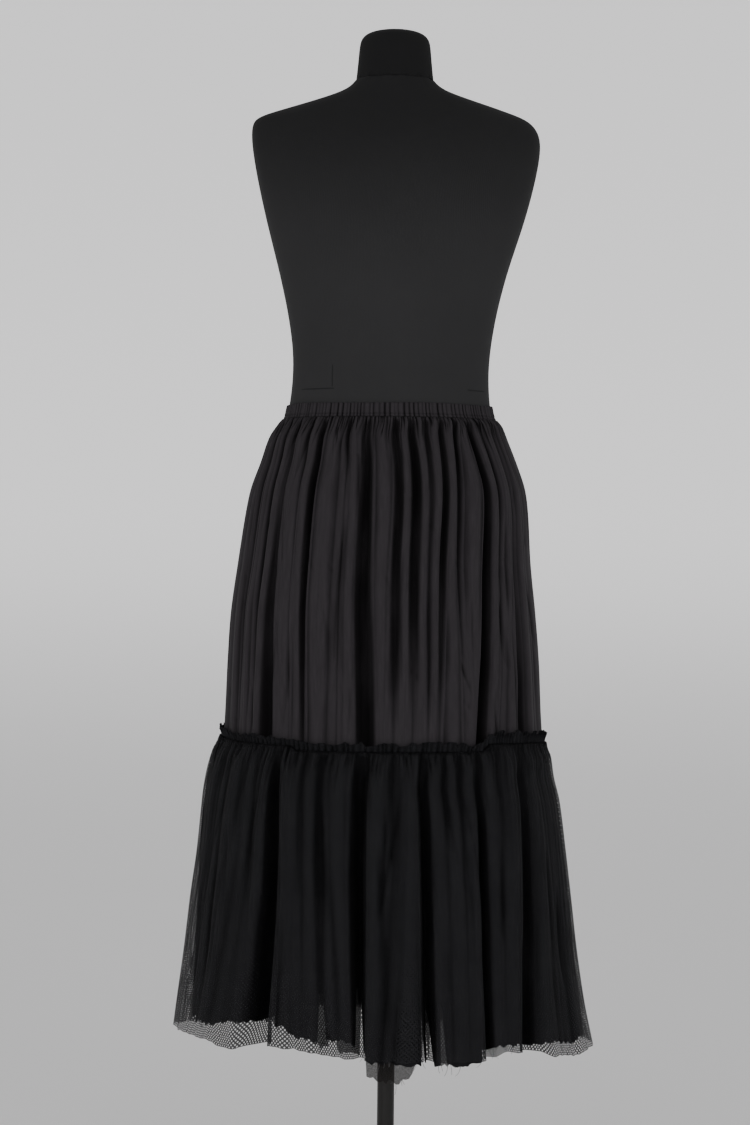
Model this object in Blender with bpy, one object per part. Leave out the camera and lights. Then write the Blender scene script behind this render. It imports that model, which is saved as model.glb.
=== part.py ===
"""A gathered two-tier skirt on a limbless dress form with a pole and a round base.

Metres, +Z up. The origin is under the centre of the base plate, on the pole's axis. The front of the skirt
faces -Y. A bearing is the angle round the skirt from the centre front, in degrees, and it grows towards +X:
0 is the centre front, 90 the right side seam, 180 the centre back and -90 the left side seam.
Sizes in the tables are millimetres, apart from bearings.
"""

import math
from collections import namedtuple

import bmesh
import bpy

MM = 0.001

# Cloth
COTTON_WALL = 1.6
SILK_WALL = 1.6
NET_WALL = 1.0
SHEER_WALL = 1.0
SEAM_GAP = 0.4
BAND_SEAM_GAP = 0.5
TIER_LAP = 2.0
FIT_GAP = 0.3

# Heights of the skirt's main edges
BAND_TOP = 1060.0
BAND_BOTTOM = 1041.0
LOWEST_TIER_SEAM = 602.5
WAIST_HALF_WIDTH = 140.0

# Waistband
BAND_CRIMPS = 64
BAND_CRIMP_DEPTH = 1.1
BAND_TOP_WAVE = 0.8
BAND_TOP_WAVES = 5

# Ruffled heading
HEADING_WAVES = 60
HEADING_WALL = 1.2
HEADING_FLARE = 5.0
HEADING_FOOT = 2.4
HEADING_WAVE_DEPTH = 2.6
HEADING_REACH = 3.0

# Sheer underskirt
UNDERSKIRT_INSET = 49.0
UNDERSKIRT_WAVE_DEPTH = 8.0
UNDERSKIRT_WAVES = 12
UNDERSKIRT_DRIFT_END = 0.3

# Stand
POLE_RADIUS = 11.5
POLE_SIDES = 20
BASE_RADIUS = 170.0
BASE_THICKNESS = 9.0
BASE_EDGE = 2.0
BASE_SIDES = 48
BOSS_RADIUS = 24.0
BOSS_HEIGHT = 28.0
COLLAR_RADIUS = 34.0
COLLAR_HEIGHT = 22.0
FORM_BOTTOM = 800.0
MERGE_DISTANCE = 0.01

Outline = namedtuple("Outline", "height left right front back")
Fold = namedtuple("Fold", "top knee low spread_top spread_low deep_top deep_knee deep_low columns")
Level = namedtuple("Level", "bearing height")
Section = namedtuple("Section", "height left right front back square")
Shade = namedtuple("Shade", "colour roughness metallic")

# Half widths and half depths of the cloth's ridges, from the stand's axis
BAND_OUTLINE = [
    Outline(1060.0, 142.4, 136.4, 106.6, 106.6),
    Outline(1050.0, 144.0, 138.0, 107.6, 107.6),
    Outline(1041.0, 147.0, 141.8, 110.0, 110.0),
]
UPPER_OUTLINE = [
    Outline(1041.0, 148.0, 143.0, 111.0, 111.0),
    Outline(1034.0, 154.0, 149.0, 117.0, 117.0),
    Outline(1016.0, 165.5, 156.5, 127.0, 128.0),
    Outline(982.0, 177.0, 170.0, 140.0, 142.0),
    Outline(949.0, 189.0, 181.0, 151.0, 154.0),
    Outline(916.0, 196.0, 185.5, 158.0, 162.0),
    Outline(849.0, 206.0, 189.5, 166.0, 172.0),
    Outline(782.0, 215.0, 196.5, 173.0, 180.0),
    Outline(716.0, 219.0, 202.0, 178.0, 186.0),
    Outline(649.0, 221.5, 205.0, 181.0, 190.0),
    Outline(610.0, 223.6, 207.4, 183.0, 192.0),
]
LOWER_OUTLINE = [
    Outline(616.0, 226.2, 210.0, 185.8, 194.8),
    Outline(606.0, 230.0, 212.0, 189.0, 198.0),
    Outline(596.0, 235.0, 216.0, 194.0, 203.0),
    Outline(568.0, 242.5, 220.0, 201.0, 210.0),
    Outline(534.0, 248.0, 228.0, 206.0, 216.0),
    Outline(465.0, 254.0, 237.0, 213.0, 224.0),
    Outline(397.0, 256.5, 245.0, 220.0, 231.0),
    Outline(329.0, 259.0, 252.0, 226.0, 237.0),
    Outline(260.0, 262.0, 261.0, 231.0, 242.0),
    Outline(200.0, 265.0, 268.0, 235.0, 246.0),
]
# How far the net stands out from the lower tier
NET_STAND_OFF = [
    Outline(616.0, 2.6, 3.2, 3.2, 2.6),
    Outline(568.0, 3.5, 3.6, 3.6, 3.6),
    Outline(465.0, 4.0, 3.8, 4.0, 4.2),
    Outline(397.0, 10.5, 4.0, 5.0, 6.0),
    Outline(329.0, 15.5, 5.0, 6.0, 8.0),
    Outline(260.0, 21.5, 6.5, 7.5, 10.0),
    Outline(200.0, 26.0, 12.0, 9.0, 12.0),
]

# Folds of the upper tier, in order round it: where each lies at the band, at the hip and at the tier seam
UPPER_FRONT = [
    Fold(-79.5, -79.5, -77.5, 3.0, 3.0, 7.0, 7.0, 3.0, 3),
    Fold(-70.5, -67.5, -64.5, 2.8, 3.0, 8.0, 7.0, 3.0, 3),
    Fold(-62.0, -57.5, -56.5, 2.8, 2.6, 9.0, 12.0, 1.0, 5),
    Fold(-51.5, -48.5, -45.6, 2.6, 6.0, 8.0, 6.0, 16.0, 5),
    Fold(-43.5, -40.5, -36.2, 2.6, 2.2, 10.0, 3.0, 0.0, 3),
    Fold(-34.0, -33.0, -29.3, 2.6, 1.8, 10.0, 15.0, 5.0, 5),
    Fold(-21.5, -18.5, -17.5, 2.6, 3.0, 10.0, 3.0, 0.5, 3),
    Fold(-10.5, -8.6, -5.9, 3.6, 4.6, 10.0, 16.0, 18.0, 5),
    Fold(2.6, 4.2, 3.0, 2.6, 3.0, 10.0, 13.0, 1.0, 5),
    Fold(11.0, 11.8, 10.4, 3.0, 3.0, 11.0, 14.0, 0.5, 5),
    Fold(18.4, 18.0, 15.6, 2.4, 1.8, 7.0, 4.0, 0.0, 3),
    Fold(26.5, 24.0, 19.8, 2.4, 2.0, 10.0, 13.0, 1.5, 5),
    Fold(35.3, 31.0, 30.6, 2.4, 2.0, 10.0, 9.0, 0.5, 3),
    Fold(43.0, 45.5, 36.6, 2.6, 3.4, 11.0, 19.0, 25.0, 5),
    Fold(53.0, 54.0, 47.0, 2.4, 3.0, 8.0, 6.0, 0.5, 3),
    Fold(63.0, 63.0, 60.5, 3.0, 4.0, 9.0, 5.0, 12.0, 5),
    Fold(76.0, 76.0, 77.0, 3.2, 3.6, 7.0, 6.0, 2.0, 3),
]
UPPER_BACK = [
    Fold(103.0, 102.0, 101.5, 3.2, 3.6, 8.0, 5.0, 1.0, 3),
    Fold(114.0, 115.0, 112.0, 2.9, 3.8, 8.0, 11.0, 6.0, 5),
    Fold(124.0, 124.5, 123.0, 2.6, 3.6, 8.0, 4.0, 1.0, 3),
    Fold(133.5, 132.0, 136.0, 2.7, 3.6, 11.0, 16.0, 17.0, 5),
    Fold(143.0, 142.5, 145.0, 2.4, 3.0, 10.0, 5.0, 1.0, 3),
    Fold(152.0, 153.0, 155.0, 2.6, 3.2, 10.0, 11.0, 6.0, 5),
    Fold(162.0, 163.0, 163.5, 2.6, 3.0, 8.0, 5.0, 1.0, 3),
    Fold(171.0, 172.0, 172.0, 2.4, 3.2, 11.0, 13.0, 4.0, 5),
    Fold(181.0, 181.0, 181.5, 2.6, 3.0, 8.0, 5.0, 1.0, 3),
    Fold(190.5, 189.0, 191.0, 2.6, 4.0, 10.0, 14.0, 13.0, 5),
    Fold(201.0, 199.5, 201.0, 2.9, 3.6, 8.0, 4.0, 1.0, 3),
    Fold(212.0, 213.5, 210.5, 2.9, 3.4, 11.0, 14.0, 8.0, 5),
    Fold(223.0, 224.5, 221.0, 2.9, 3.6, 8.0, 5.0, 1.0, 3),
    Fold(234.0, 236.0, 233.0, 2.9, 4.0, 10.0, 13.0, 10.0, 5),
    Fold(246.0, 246.5, 246.0, 3.0, 4.0, 8.0, 5.0, 1.0, 3),
    Fold(258.0, 258.0, 259.0, 3.2, 4.0, 8.0, 5.0, 1.0, 3),
]

# Folds of the lower tier, in order round it: where each lies at the tier seam, half way down and at the hem
LOWER_FRONT = [
    Fold(-80.0, -81.0, -82.0, 3.4, 3.4, 4.0, 3.0, 3.0, 3),
    Fold(-63.0, -66.0, -68.0, 3.8, 4.4, 5.0, 5.0, 3.0, 3),
    Fold(-46.5, -47.0, -53.0, 3.8, 4.4, 6.0, 6.0, 3.0, 3),
    Fold(-36.4, -35.0, -37.2, 3.8, 5.4, 13.0, 32.0, 42.0, 7),
    Fold(-27.3, -25.5, -25.0, 2.6, 2.6, 5.0, 2.0, 0.5, 3),
    Fold(-19.5, -18.6, -17.0, 3.0, 3.0, 6.0, 6.0, 4.0, 3),
    Fold(-7.2, -8.0, -8.3, 4.0, 2.4, 17.0, 34.0, 34.0, 7),
    Fold(5.0, 3.4, -1.2, 3.4, 2.6, 5.0, 5.0, 4.0, 3),
    Fold(13.6, 13.0, 11.2, 2.6, 2.4, 11.0, 26.0, 32.0, 7),
    Fold(21.0, 20.1, 18.2, 2.4, 2.2, 5.0, 2.0, 0.5, 3),
    Fold(26.4, 25.4, 23.0, 2.4, 2.0, 5.0, 1.5, 0.5, 3),
    Fold(33.6, 32.0, 29.2, 2.6, 1.9, 9.0, 20.0, 24.0, 7),
    Fold(43.0, 40.0, 35.1, 3.2, 1.9, 5.0, 3.0, 1.0, 3),
    Fold(54.0, 50.0, 42.8, 4.4, 3.8, 9.0, 18.0, 25.0, 7),
    Fold(67.0, 66.0, 61.0, 3.8, 4.2, 5.0, 4.0, 4.0, 3),
    Fold(79.0, 79.0, 77.0, 3.6, 3.8, 4.0, 4.0, 4.0, 3),
]
LOWER_BACK = [
    Fold(101.0, 101.0, 102.0, 3.6, 3.8, 4.0, 3.0, 4.0, 3),
    Fold(112.5, 113.0, 114.0, 3.8, 4.6, 9.0, 20.0, 28.0, 7),
    Fold(125.0, 126.0, 127.0, 3.6, 3.6, 5.0, 3.0, 1.0, 3),
    Fold(135.0, 136.0, 136.0, 3.4, 2.8, 10.0, 24.0, 30.0, 7),
    Fold(145.0, 145.5, 146.0, 3.2, 3.2, 5.0, 4.0, 3.0, 3),
    Fold(156.0, 157.0, 158.0, 3.6, 4.6, 14.0, 30.0, 38.0, 7),
    Fold(167.0, 168.0, 169.5, 3.2, 3.2, 5.0, 3.0, 1.0, 3),
    Fold(177.0, 176.5, 178.5, 3.2, 2.6, 11.0, 26.0, 30.0, 7),
    Fold(187.0, 186.0, 187.5, 3.2, 3.0, 5.0, 5.0, 3.0, 3),
    Fold(198.0, 197.0, 197.0, 3.6, 3.2, 15.0, 32.0, 36.0, 7),
    Fold(209.0, 209.0, 209.0, 3.4, 3.4, 5.0, 3.0, 1.0, 3),
    Fold(221.0, 222.0, 223.0, 3.8, 4.8, 12.0, 28.0, 38.0, 7),
    Fold(234.0, 235.0, 236.0, 3.6, 3.6, 5.0, 4.0, 2.0, 3),
    Fold(247.0, 247.0, 248.0, 3.6, 3.4, 9.0, 18.0, 24.0, 7),
    Fold(259.0, 259.5, 260.0, 3.4, 3.4, 4.0, 3.0, 3.0, 3),
]

# Height of the seam between the tiers round the skirt: it steps at two folds of the front
SEAM_LEVELS = [
    Level(-90.0, 613.5), Level(-60.0, 610.0), Level(-33.5, 608.5), Level(-30.5, 602.5), Level(35.5, 602.5),
    Level(40.0, 611.5), Level(60.0, 610.5), Level(90.0, 607.0), Level(135.0, 604.5), Level(180.0, 606.0),
    Level(225.0, 609.0), Level(270.0, 613.5),
]
# Height of the ruffled heading over its foot
HEADING_HEIGHTS = [
    Level(-90.0, 11.5), Level(-30.0, 10.5), Level(34.0, 10.5), Level(39.0, 15.0), Level(70.0, 14.0),
    Level(100.0, 11.5), Level(270.0, 11.5),
]

# Hem heights round the skirt
LOWER_HEM = [
    Level(-90.0, 234.0), Level(-70.0, 237.0), Level(-46.0, 250.0), Level(-40.0, 256.0), Level(-32.0, 252.0),
    Level(-26.0, 238.0), Level(-12.0, 238.0), Level(-5.0, 211.0), Level(14.0, 208.0), Level(25.0, 207.0),
    Level(32.0, 228.0), Level(48.0, 226.0), Level(74.0, 215.0), Level(90.0, 214.0), Level(115.0, 222.0),
    Level(138.0, 232.0), Level(150.0, 228.0), Level(165.0, 214.0), Level(186.0, 218.0), Level(205.0, 236.0),
    Level(225.0, 228.0), Level(250.0, 226.0), Level(270.0, 234.0),
]
NET_HEM = [
    Level(-90.0, 222.0), Level(-70.0, 226.0), Level(-58.0, 224.0), Level(-48.0, 218.0), Level(-38.0, 226.0),
    Level(-28.0, 227.0), Level(-19.0, 222.0), Level(-8.0, 216.0), Level(12.0, 213.0), Level(28.0, 213.0),
    Level(34.0, 222.0), Level(45.0, 218.0), Level(54.0, 208.0), Level(65.0, 203.0), Level(90.0, 201.0),
    Level(112.0, 206.0), Level(130.0, 216.0), Level(150.0, 214.0), Level(170.0, 208.0), Level(190.0, 210.0),
    Level(210.0, 221.0), Level(230.0, 217.0), Level(250.0, 213.0), Level(270.0, 222.0),
]
UNDERSKIRT_HEM = [
    Level(-90.0, 246.0), Level(-60.0, 246.0), Level(-40.0, 250.0), Level(-24.0, 222.0), Level(-10.0, 214.0),
    Level(-4.0, 194.0), Level(4.0, 193.0), Level(10.0, 202.0), Level(26.0, 198.0), Level(36.0, 226.0),
    Level(60.0, 234.0), Level(90.0, 232.0), Level(120.0, 236.0), Level(145.0, 216.0), Level(165.0, 198.0),
    Level(185.0, 204.0), Level(210.0, 230.0), Level(240.0, 238.0), Level(270.0, 246.0),
]

# How far down each tier its rings of points lie, from 0 at the top edge to 1 at the lower edge
UPPER_RINGS = [0.0, 0.035, 0.10, 0.22, 0.42, 0.68, 1.0]
LOWER_RINGS = [0.0, 0.05, 0.14, 0.32, 0.54, 0.77, 1.0]
NET_RINGS = [0.0, 0.05, 0.14, 0.35, 0.66, 1.0]
UNDERSKIRT_RINGS = [0.0, 0.05, 0.16, 0.4, 0.7, 1.0]

# Where the knee of a fold lies, down its tier
UPPER_KNEE = 0.25
LOWER_KNEE = 0.45

# Shape of a fold: the flat share of its floor, and a deep fold's lip in degrees, sunk by a share of its depth
DEEP_FOLD_COLUMNS = 7
FOLD_FLOOR = 0.22
FOLD_LIP = 1.6
FOLD_LIP_DROP = 0.15
LIP_EDGE = 2.0

# How far down its tier a fold has reached its full depth
UPPER_FADE_IN = 0.05
LOWER_FADE_IN = 0.12

# The net dips into the deep folds by this share of their depth, and steps over the ridges
NET_DIP = 0.7
NET_FOLD_EDGE = 0.85
NET_STEP = 5.0

# Sections of the dress form, from its flat bottom to the seam under the neck block
FORM_SECTIONS = [
    Section(FORM_BOTTOM, 141.0, 139.0, 104.0, 110.0, 2.0),
    Section(812.0, 150.0, 148.0, 112.0, 118.0, 2.0),
    Section(880.0, 160.0, 157.0, 120.0, 128.0, 2.0),
    Section(945.0, 158.0, 154.0, 119.0, 126.0, 2.0),
    Section(1000.0, 149.0, 143.0, 111.0, 115.0, 2.0),
    Section(1036.0, 142.6, 136.9, 106.0, 106.0, 2.0),
    Section(1060.0, 139.0, 133.0, 103.2, 103.2, 2.0),
    Section(1078.0, 136.4, 131.4, 102.0, 102.0, 2.05),
    Section(1106.0, 134.2, 130.4, 101.5, 101.5, 2.1),
    Section(1140.0, 135.0, 133.0, 103.0, 103.5, 2.15),
    Section(1188.0, 142.4, 141.0, 108.0, 108.0, 2.2),
    Section(1240.0, 154.3, 154.4, 112.0, 113.0, 2.25),
    Section(1278.0, 164.3, 167.0, 113.0, 115.0, 2.35),
    Section(1320.0, 175.0, 180.6, 111.0, 114.0, 2.5),
    Section(1370.0, 186.0, 193.0, 101.0, 106.0, 2.65),
    Section(1405.0, 192.0, 198.6, 88.0, 94.0, 2.7),
    Section(1426.0, 193.6, 197.0, 77.0, 83.0, 2.6),
    Section(1440.0, 192.0, 188.0, 67.0, 73.0, 2.5),
    Section(1448.0, 185.0, 176.0, 62.0, 68.0, 2.4),
    Section(1458.0, 153.0, 150.0, 58.0, 63.0, 2.25),
    Section(1474.0, 99.0, 102.0, 52.0, 56.0, 2.15),
    Section(1487.0, 63.0, 64.0, 48.5, 51.0, 2.05),
    Section(1500.0, 53.0, 53.0, 48.0, 48.0, 2.0),
]
FORM_COLUMNS = 36

# Profile of the neck block: height and half width
NECK_PROFILE = [
    (1500.3, 52.6), (1524.0, 50.0), (1546.0, 48.4), (1555.0, 45.8), (1561.0, 40.0), (1565.0, 30.0), (1567.4, 16.0),
]
NECK_TOP = 1568.0
NECK_DEPTH_SHARE = 0.94
NECK_COLUMNS = 28

SHADES = {
    "form_jersey": Shade((0.022, 0.022, 0.024), 0.92, 0.0),
    "cotton": Shade((0.016, 0.013, 0.017), 0.72, 0.0),
    "silk": Shade((0.009, 0.009, 0.011), 0.8, 0.0),
    "net": Shade((0.02, 0.02, 0.022), 0.85, 0.0),
    "sheer": Shade((0.012, 0.012, 0.014), 0.8, 0.0),
    "pole_metal": Shade((0.06, 0.055, 0.05), 0.4, 1.0),
}


def clear_scene():
    """Remove every object, so that the file holds only the model."""
    for thing in list(bpy.data.objects):
        bpy.data.objects.remove(thing, do_unlink=True)


def material(name):
    """The Principled material of one kind of cloth or metal."""
    found = bpy.data.materials.get(name)
    if found:
        return found
    made = bpy.data.materials.new(name)
    made.use_nodes = True
    shader = made.node_tree.nodes["Principled BSDF"]
    shade = SHADES[name]
    shader.inputs["Base Color"].default_value = (*shade.colour, 1.0)
    shader.inputs["Roughness"].default_value = shade.roughness
    shader.inputs["Metallic"].default_value = shade.metallic
    made.diffuse_color = (*shade.colour, 1.0)
    return made


def smoothstep(share):
    """Ease from 0 to 1, level at both ends."""
    share = min(max(share, 0.0), 1.0)
    return share * share * (3.0 - 2.0 * share)


def curve_through(places, values, place):
    """A smooth curve through values at rising places."""
    if place <= places[0]:
        return values[0]
    if place >= places[-1]:
        return values[-1]
    index = next(i for i in range(len(places) - 1) if places[i + 1] >= place)

    def slope(i):
        before, after = max(i - 1, 0), min(i + 1, len(places) - 1)
        return (values[after] - values[before]) / (places[after] - places[before])

    span = places[index + 1] - places[index]
    share = (place - places[index]) / span
    square, cube = share ** 2, share ** 3
    return (
        (2 * cube - 3 * square + 1) * values[index]
        + (cube - 2 * square + share) * span * slope(index)
        + (3 * square - 2 * cube) * values[index + 1]
        + (cube - square) * span * slope(index + 1)
    )


def outline_at(outline, height):
    """Left, right, front and back half sizes of an outline at a height."""
    rows = sorted(outline)
    heights = [row.height for row in rows]
    fields = ("left", "right", "front", "back")
    return [curve_through(heights, [getattr(row, field) for row in rows], height) for field in fields]


def level_at(levels, bearing):
    """Height of an edge at a bearing, eased between the levels of its table."""
    bearing = (bearing + 90.0) % 360.0 - 90.0
    for low, high in zip(levels, levels[1:]):
        if low.bearing <= bearing <= high.bearing:
            share = smoothstep((bearing - low.bearing) / (high.bearing - low.bearing))
            return low.height + share * (high.height - low.height)
    return levels[-1].height


def seam_height(bearing):
    """Height of the upper tier's lower edge at a bearing."""
    return level_at(SEAM_LEVELS, bearing)


def lower_top(bearing):
    """Top edge of the lower tier and the net, which lap a little over the upper tier."""
    return seam_height(bearing) + TIER_LAP


def lower_lift(bearing, down):
    """How far above its own height a place of the lower tier reads its outline, so that it starts at its top row."""
    return (LOWER_OUTLINE[0].height - lower_top(bearing)) * (1.0 - down)


def ring_point(outline, bearing, height, offset=0.0, lift=0.0):
    """A point of an outline read a lift above its height, moved out from it by an offset."""
    left, right, front, back = outline_at(outline, height + lift)
    angle = math.radians(bearing)
    wide, deep = (left + right) / 2, (front + back) / 2
    across, ahead = math.sin(angle), -math.cos(angle)
    place = ((right - left) / 2 + wide * across, (back - front) / 2 + deep * ahead)
    normal = (across / wide, ahead / deep)
    length = math.hypot(*normal)
    return (
        (place[0] + offset * normal[0] / length) * MM,
        (place[1] + offset * normal[1] / length) * MM,
        height * MM,
    )


def fold_line(fold, down, knee):
    """Bearing, half width and depth of a fold at a place down its tier."""
    places = [0.0, knee, 1.0]
    bearing = curve_through(places, [fold.top, fold.knee, fold.low], down)
    spread = fold.spread_top + (fold.spread_low - fold.spread_top) * down
    deep = curve_through(places, [fold.deep_top, fold.deep_knee, fold.deep_low], down)
    return bearing, spread, max(deep, 0.0)


def fold_profile(across, lip):
    """Share of a fold's depth at a place across it: a flat floor, two soft walls and a rounded lip past them."""
    across = abs(across)
    drop = FOLD_LIP_DROP if lip else 0.0
    if across > 1.0:
        return drop * (1.0 - smoothstep((across - 1.0) / lip)) if lip else 0.0
    return 1.0 - (1.0 - drop) * smoothstep((across - FOLD_FLOOR) / (1.0 - FOLD_FLOOR))


def panel_columns(folds, first, last):
    """Columns of a panel: the fold each belongs to and its place across it, with None at the two ends.

    A place is -1 and 1 at a fold's edges, and LIP_EDGE at the far side of a deep fold's lip.
    """
    columns = [(None, first)]
    for fold in folds:
        half = (fold.columns - 1) // 2
        places = [step / half for step in range(-half, half + 1)]
        if fold.columns == DEEP_FOLD_COLUMNS:
            places = [-LIP_EDGE] + places + [LIP_EDGE]
        columns += [(fold, place) for place in places]
    columns.append((None, last))
    return columns


def column_at(column, down, knee):
    """Bearing and depth of one column at a place down its tier."""
    fold, across = column
    if fold is None:
        return across, 0.0
    bearing, spread, deep = fold_line(fold, down, knee)
    if abs(across) == LIP_EDGE:
        return bearing + math.copysign(spread + FOLD_LIP, across), 0.0
    lip = FOLD_LIP / spread if fold.columns == DEEP_FOLD_COLUMNS else 0.0
    return bearing + across * spread, deep * fold_profile(across, lip)


def finish(name, mesh, shade, smooth_angle=35.0):
    """Turn a mesh into a named, smooth-shaded object with its material."""
    for face in mesh.faces:
        face.smooth = True
    bmesh.ops.recalc_face_normals(mesh, faces=mesh.faces[:])
    data = bpy.data.meshes.new(name)
    mesh.to_mesh(data)
    mesh.free()
    data.set_sharp_from_angle(angle=math.radians(smooth_angle))
    data.materials.append(material(shade))
    thing = bpy.data.objects.new(name, data)
    bpy.context.collection.objects.link(thing)
    return thing


def sheet(rings, closed):
    """A sheet of quads over rings of points, top ring first, facing away from the axis."""
    mesh = bmesh.new()
    rows = [[mesh.verts.new(point) for point in ring] for ring in rings]
    count = len(rows[0])
    for upper, lower in zip(rows, rows[1:]):
        for index in range(count if closed else count - 1):
            after = (index + 1) % count
            mesh.faces.new((upper[index], lower[index], lower[after], upper[after]))
    return mesh


def cloth(name, rings, wall, shade, closed=False):
    """A wall of cloth behind a sheet of points: the sheet is its outer side."""
    mesh = sheet(rings, closed)
    bmesh.ops.triangulate(mesh, faces=mesh.faces[:])
    for face in mesh.faces:
        face.smooth = True
    data = bpy.data.meshes.new(name)
    mesh.to_mesh(data)
    mesh.free()
    data.materials.append(material(shade))
    thing = bpy.data.objects.new(name, data)
    bpy.context.collection.objects.link(thing)
    thickness = thing.modifiers.new("cloth_wall", "SOLIDIFY")
    thickness.thickness = wall * MM
    thickness.offset = -1.0
    thickness.use_even_offset = False
    return thing


def half_bearings(side):
    """First and last bearing of a front or back half, with the seam's gap between the halves."""
    gap = math.degrees(SEAM_GAP / 2 / WAIST_HALF_WIDTH)
    if side == "front":
        return -90.0 + gap, 90.0 - gap
    return 90.0 + gap, 270.0 - gap


def waistband():
    """The elastic casing: a ring of crimped cloth, bulging between its grooves."""
    per_crimp = 3
    count = BAND_CRIMPS * per_crimp
    rings = []
    for height, wave_height in ((BAND_TOP, BAND_TOP_WAVE), (BAND_BOTTOM + BAND_SEAM_GAP, 0.0)):
        ring = []
        for index in range(count):
            bearing = 360.0 * index / count
            groove = BAND_CRIMP_DEPTH if index % per_crimp == 0 else 0.0
            wave = wave_height * math.sin(math.radians(BAND_TOP_WAVES * bearing))
            ring.append(ring_point(BAND_OUTLINE, bearing, height + wave, -groove))
        rings.append(ring)
    cloth("waistband", rings, COTTON_WALL, "cotton", closed=True)


def tier_rings(columns, downs, knee, outline, top, bottom, fade_in, lift=lambda bearing, down: 0.0):
    """Rings of points down a tier: folds sunk into an outline, between a top and a bottom edge."""
    rings = []
    for down in downs:
        ring = []
        share = smoothstep(down / fade_in)
        for column in columns:
            bearing, deep = column_at(column, down, knee)
            height = top(bearing) + (bottom(bearing) - top(bearing)) * down
            ring.append(ring_point(outline, bearing, height, -deep * share, lift(bearing, down)))
        rings.append(ring)
    return rings


def upper_tier(side, folds):
    """A half of the upper tier, gathered into the band."""
    columns = panel_columns(folds, *half_bearings(side))
    rings = tier_rings(
        columns, UPPER_RINGS, UPPER_KNEE, UPPER_OUTLINE, lambda bearing: BAND_BOTTOM, seam_height,
        UPPER_FADE_IN,
    )
    cloth(f"upper_tier_{side}", rings, COTTON_WALL, "cotton")


def lower_tier(side, folds):
    """A half of the lower tier, with its deep folds."""
    columns = panel_columns(folds, *half_bearings(side))
    rings = tier_rings(
        columns, LOWER_RINGS, LOWER_KNEE, LOWER_OUTLINE, lower_top,
        lambda bearing: level_at(LOWER_HEM, bearing), LOWER_FADE_IN, lower_lift,
    )
    cloth(f"lower_tier_{side}", rings, SILK_WALL, "silk")


def net_stand_off(bearing, height):
    """How far the net stands out from the lower tier at a place."""
    left, right, front, back = outline_at(NET_STAND_OFF, height)
    angle = math.radians(bearing)
    across, ahead = math.sin(angle), -math.cos(angle)
    side, face = (right if across > 0 else left), (back if ahead > 0 else front)
    return side * across ** 2 + face * ahead ** 2


def net_line(folds, down, first, last):
    """Bearing and dip of each of the net's columns at one height: down into the deep folds, level between."""
    marks = [(first, 0.0)]
    for fold in folds:
        bearing, spread, deep = fold_line(fold, down, LOWER_KNEE)
        if fold.columns == DEEP_FOLD_COLUMNS:
            edge = spread * NET_FOLD_EDGE
            marks += [(bearing - edge, 0.0), (bearing, deep * NET_DIP), (bearing + edge, 0.0)]
    marks.append((last, 0.0))
    return marks


def net(side, folds):
    """A half of the net overskirt: it dips into the deep folds and stands away near the hem."""
    first, last = half_bearings(side)
    hem_marks = net_line(folds, 1.0, first, last)
    steps = [
        max(1, math.ceil((after[0] - before[0]) / NET_STEP)) if before[1] == after[1] else 1
        for before, after in zip(hem_marks, hem_marks[1:])
    ]
    rings = []
    for down in NET_RINGS:
        marks = net_line(folds, down, first, last)
        line = [
            (before[0] + (after[0] - before[0]) * step / count, before[1])
            for before, after, count in zip(marks, marks[1:], steps)
            for step in range(count)
        ]
        ring = []
        for bearing, dip in line + [marks[-1]]:
            top, bottom = lower_top(bearing), level_at(NET_HEM, bearing)
            height, lift = top + (bottom - top) * down, lower_lift(bearing, down)
            offset = net_stand_off(bearing, height + lift) - dip * smoothstep(down / LOWER_FADE_IN)
            ring.append(ring_point(LOWER_OUTLINE, bearing, height, offset, lift))
        rings.append(ring)
    cloth(f"net_overskirt_{side}", rings, NET_WALL, "net")


def heading(side):
    """A half of the ruffled heading: the raw edge that stands above the tier seam and flares out.

    Near a step of the seam it keeps to the higher side, clear of the lower tier.
    """
    first, last = half_bearings(side)
    per_wave = 3
    count = HEADING_WAVES // 2 * per_wave
    rings = []
    for down, flare in ((0.0, HEADING_FLARE), (1.0, HEADING_FOOT)):
        ring = []
        for index in range(count + 1):
            bearing = first + (last - first) * index / count
            wave = HEADING_WAVE_DEPTH * (1.0 - down) if index % per_wave == 0 else 0.0
            foot = max(lower_top(bearing + reach) for reach in (-HEADING_REACH, 0.0, HEADING_REACH)) + FIT_GAP
            height = foot + level_at(HEADING_HEIGHTS, bearing) * (1.0 - down)
            ring.append(ring_point(UPPER_OUTLINE, bearing, height, flare - wave))
        rings.append(ring)
    cloth(f"ruffled_heading_{side}", rings, HEADING_WALL, "silk")


def underskirt(side):
    """A half of the sheer underskirt, hanging inside the folds of the lower tier."""
    first, last = half_bearings(side)
    per_wave = 4
    count = UNDERSKIRT_WAVES // 2 * per_wave
    rings = []
    for down in UNDERSKIRT_RINGS:
        ring = []
        drift = math.sin(math.pi / 2 * min(down / UNDERSKIRT_DRIFT_END, 1.0))
        outline = UPPER_OUTLINE if down == 0.0 else LOWER_OUTLINE
        for index in range(count + 1):
            bearing = first + (last - first) * index / count
            top = LOWEST_TIER_SEAM - FIT_GAP
            height = top + (level_at(UNDERSKIRT_HEM, bearing) - top) * down
            lift = lower_lift(bearing, down)
            wave = UNDERSKIRT_WAVE_DEPTH * (1.0 + math.cos(math.tau * index / per_wave)) / 2
            ring.append(ring_point(outline, bearing, height, -drift * (UNDERSKIRT_INSET + wave), lift))
        rings.append(ring)
    cloth(f"sheer_underskirt_{side}", rings, SHEER_WALL, "sheer")


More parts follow.
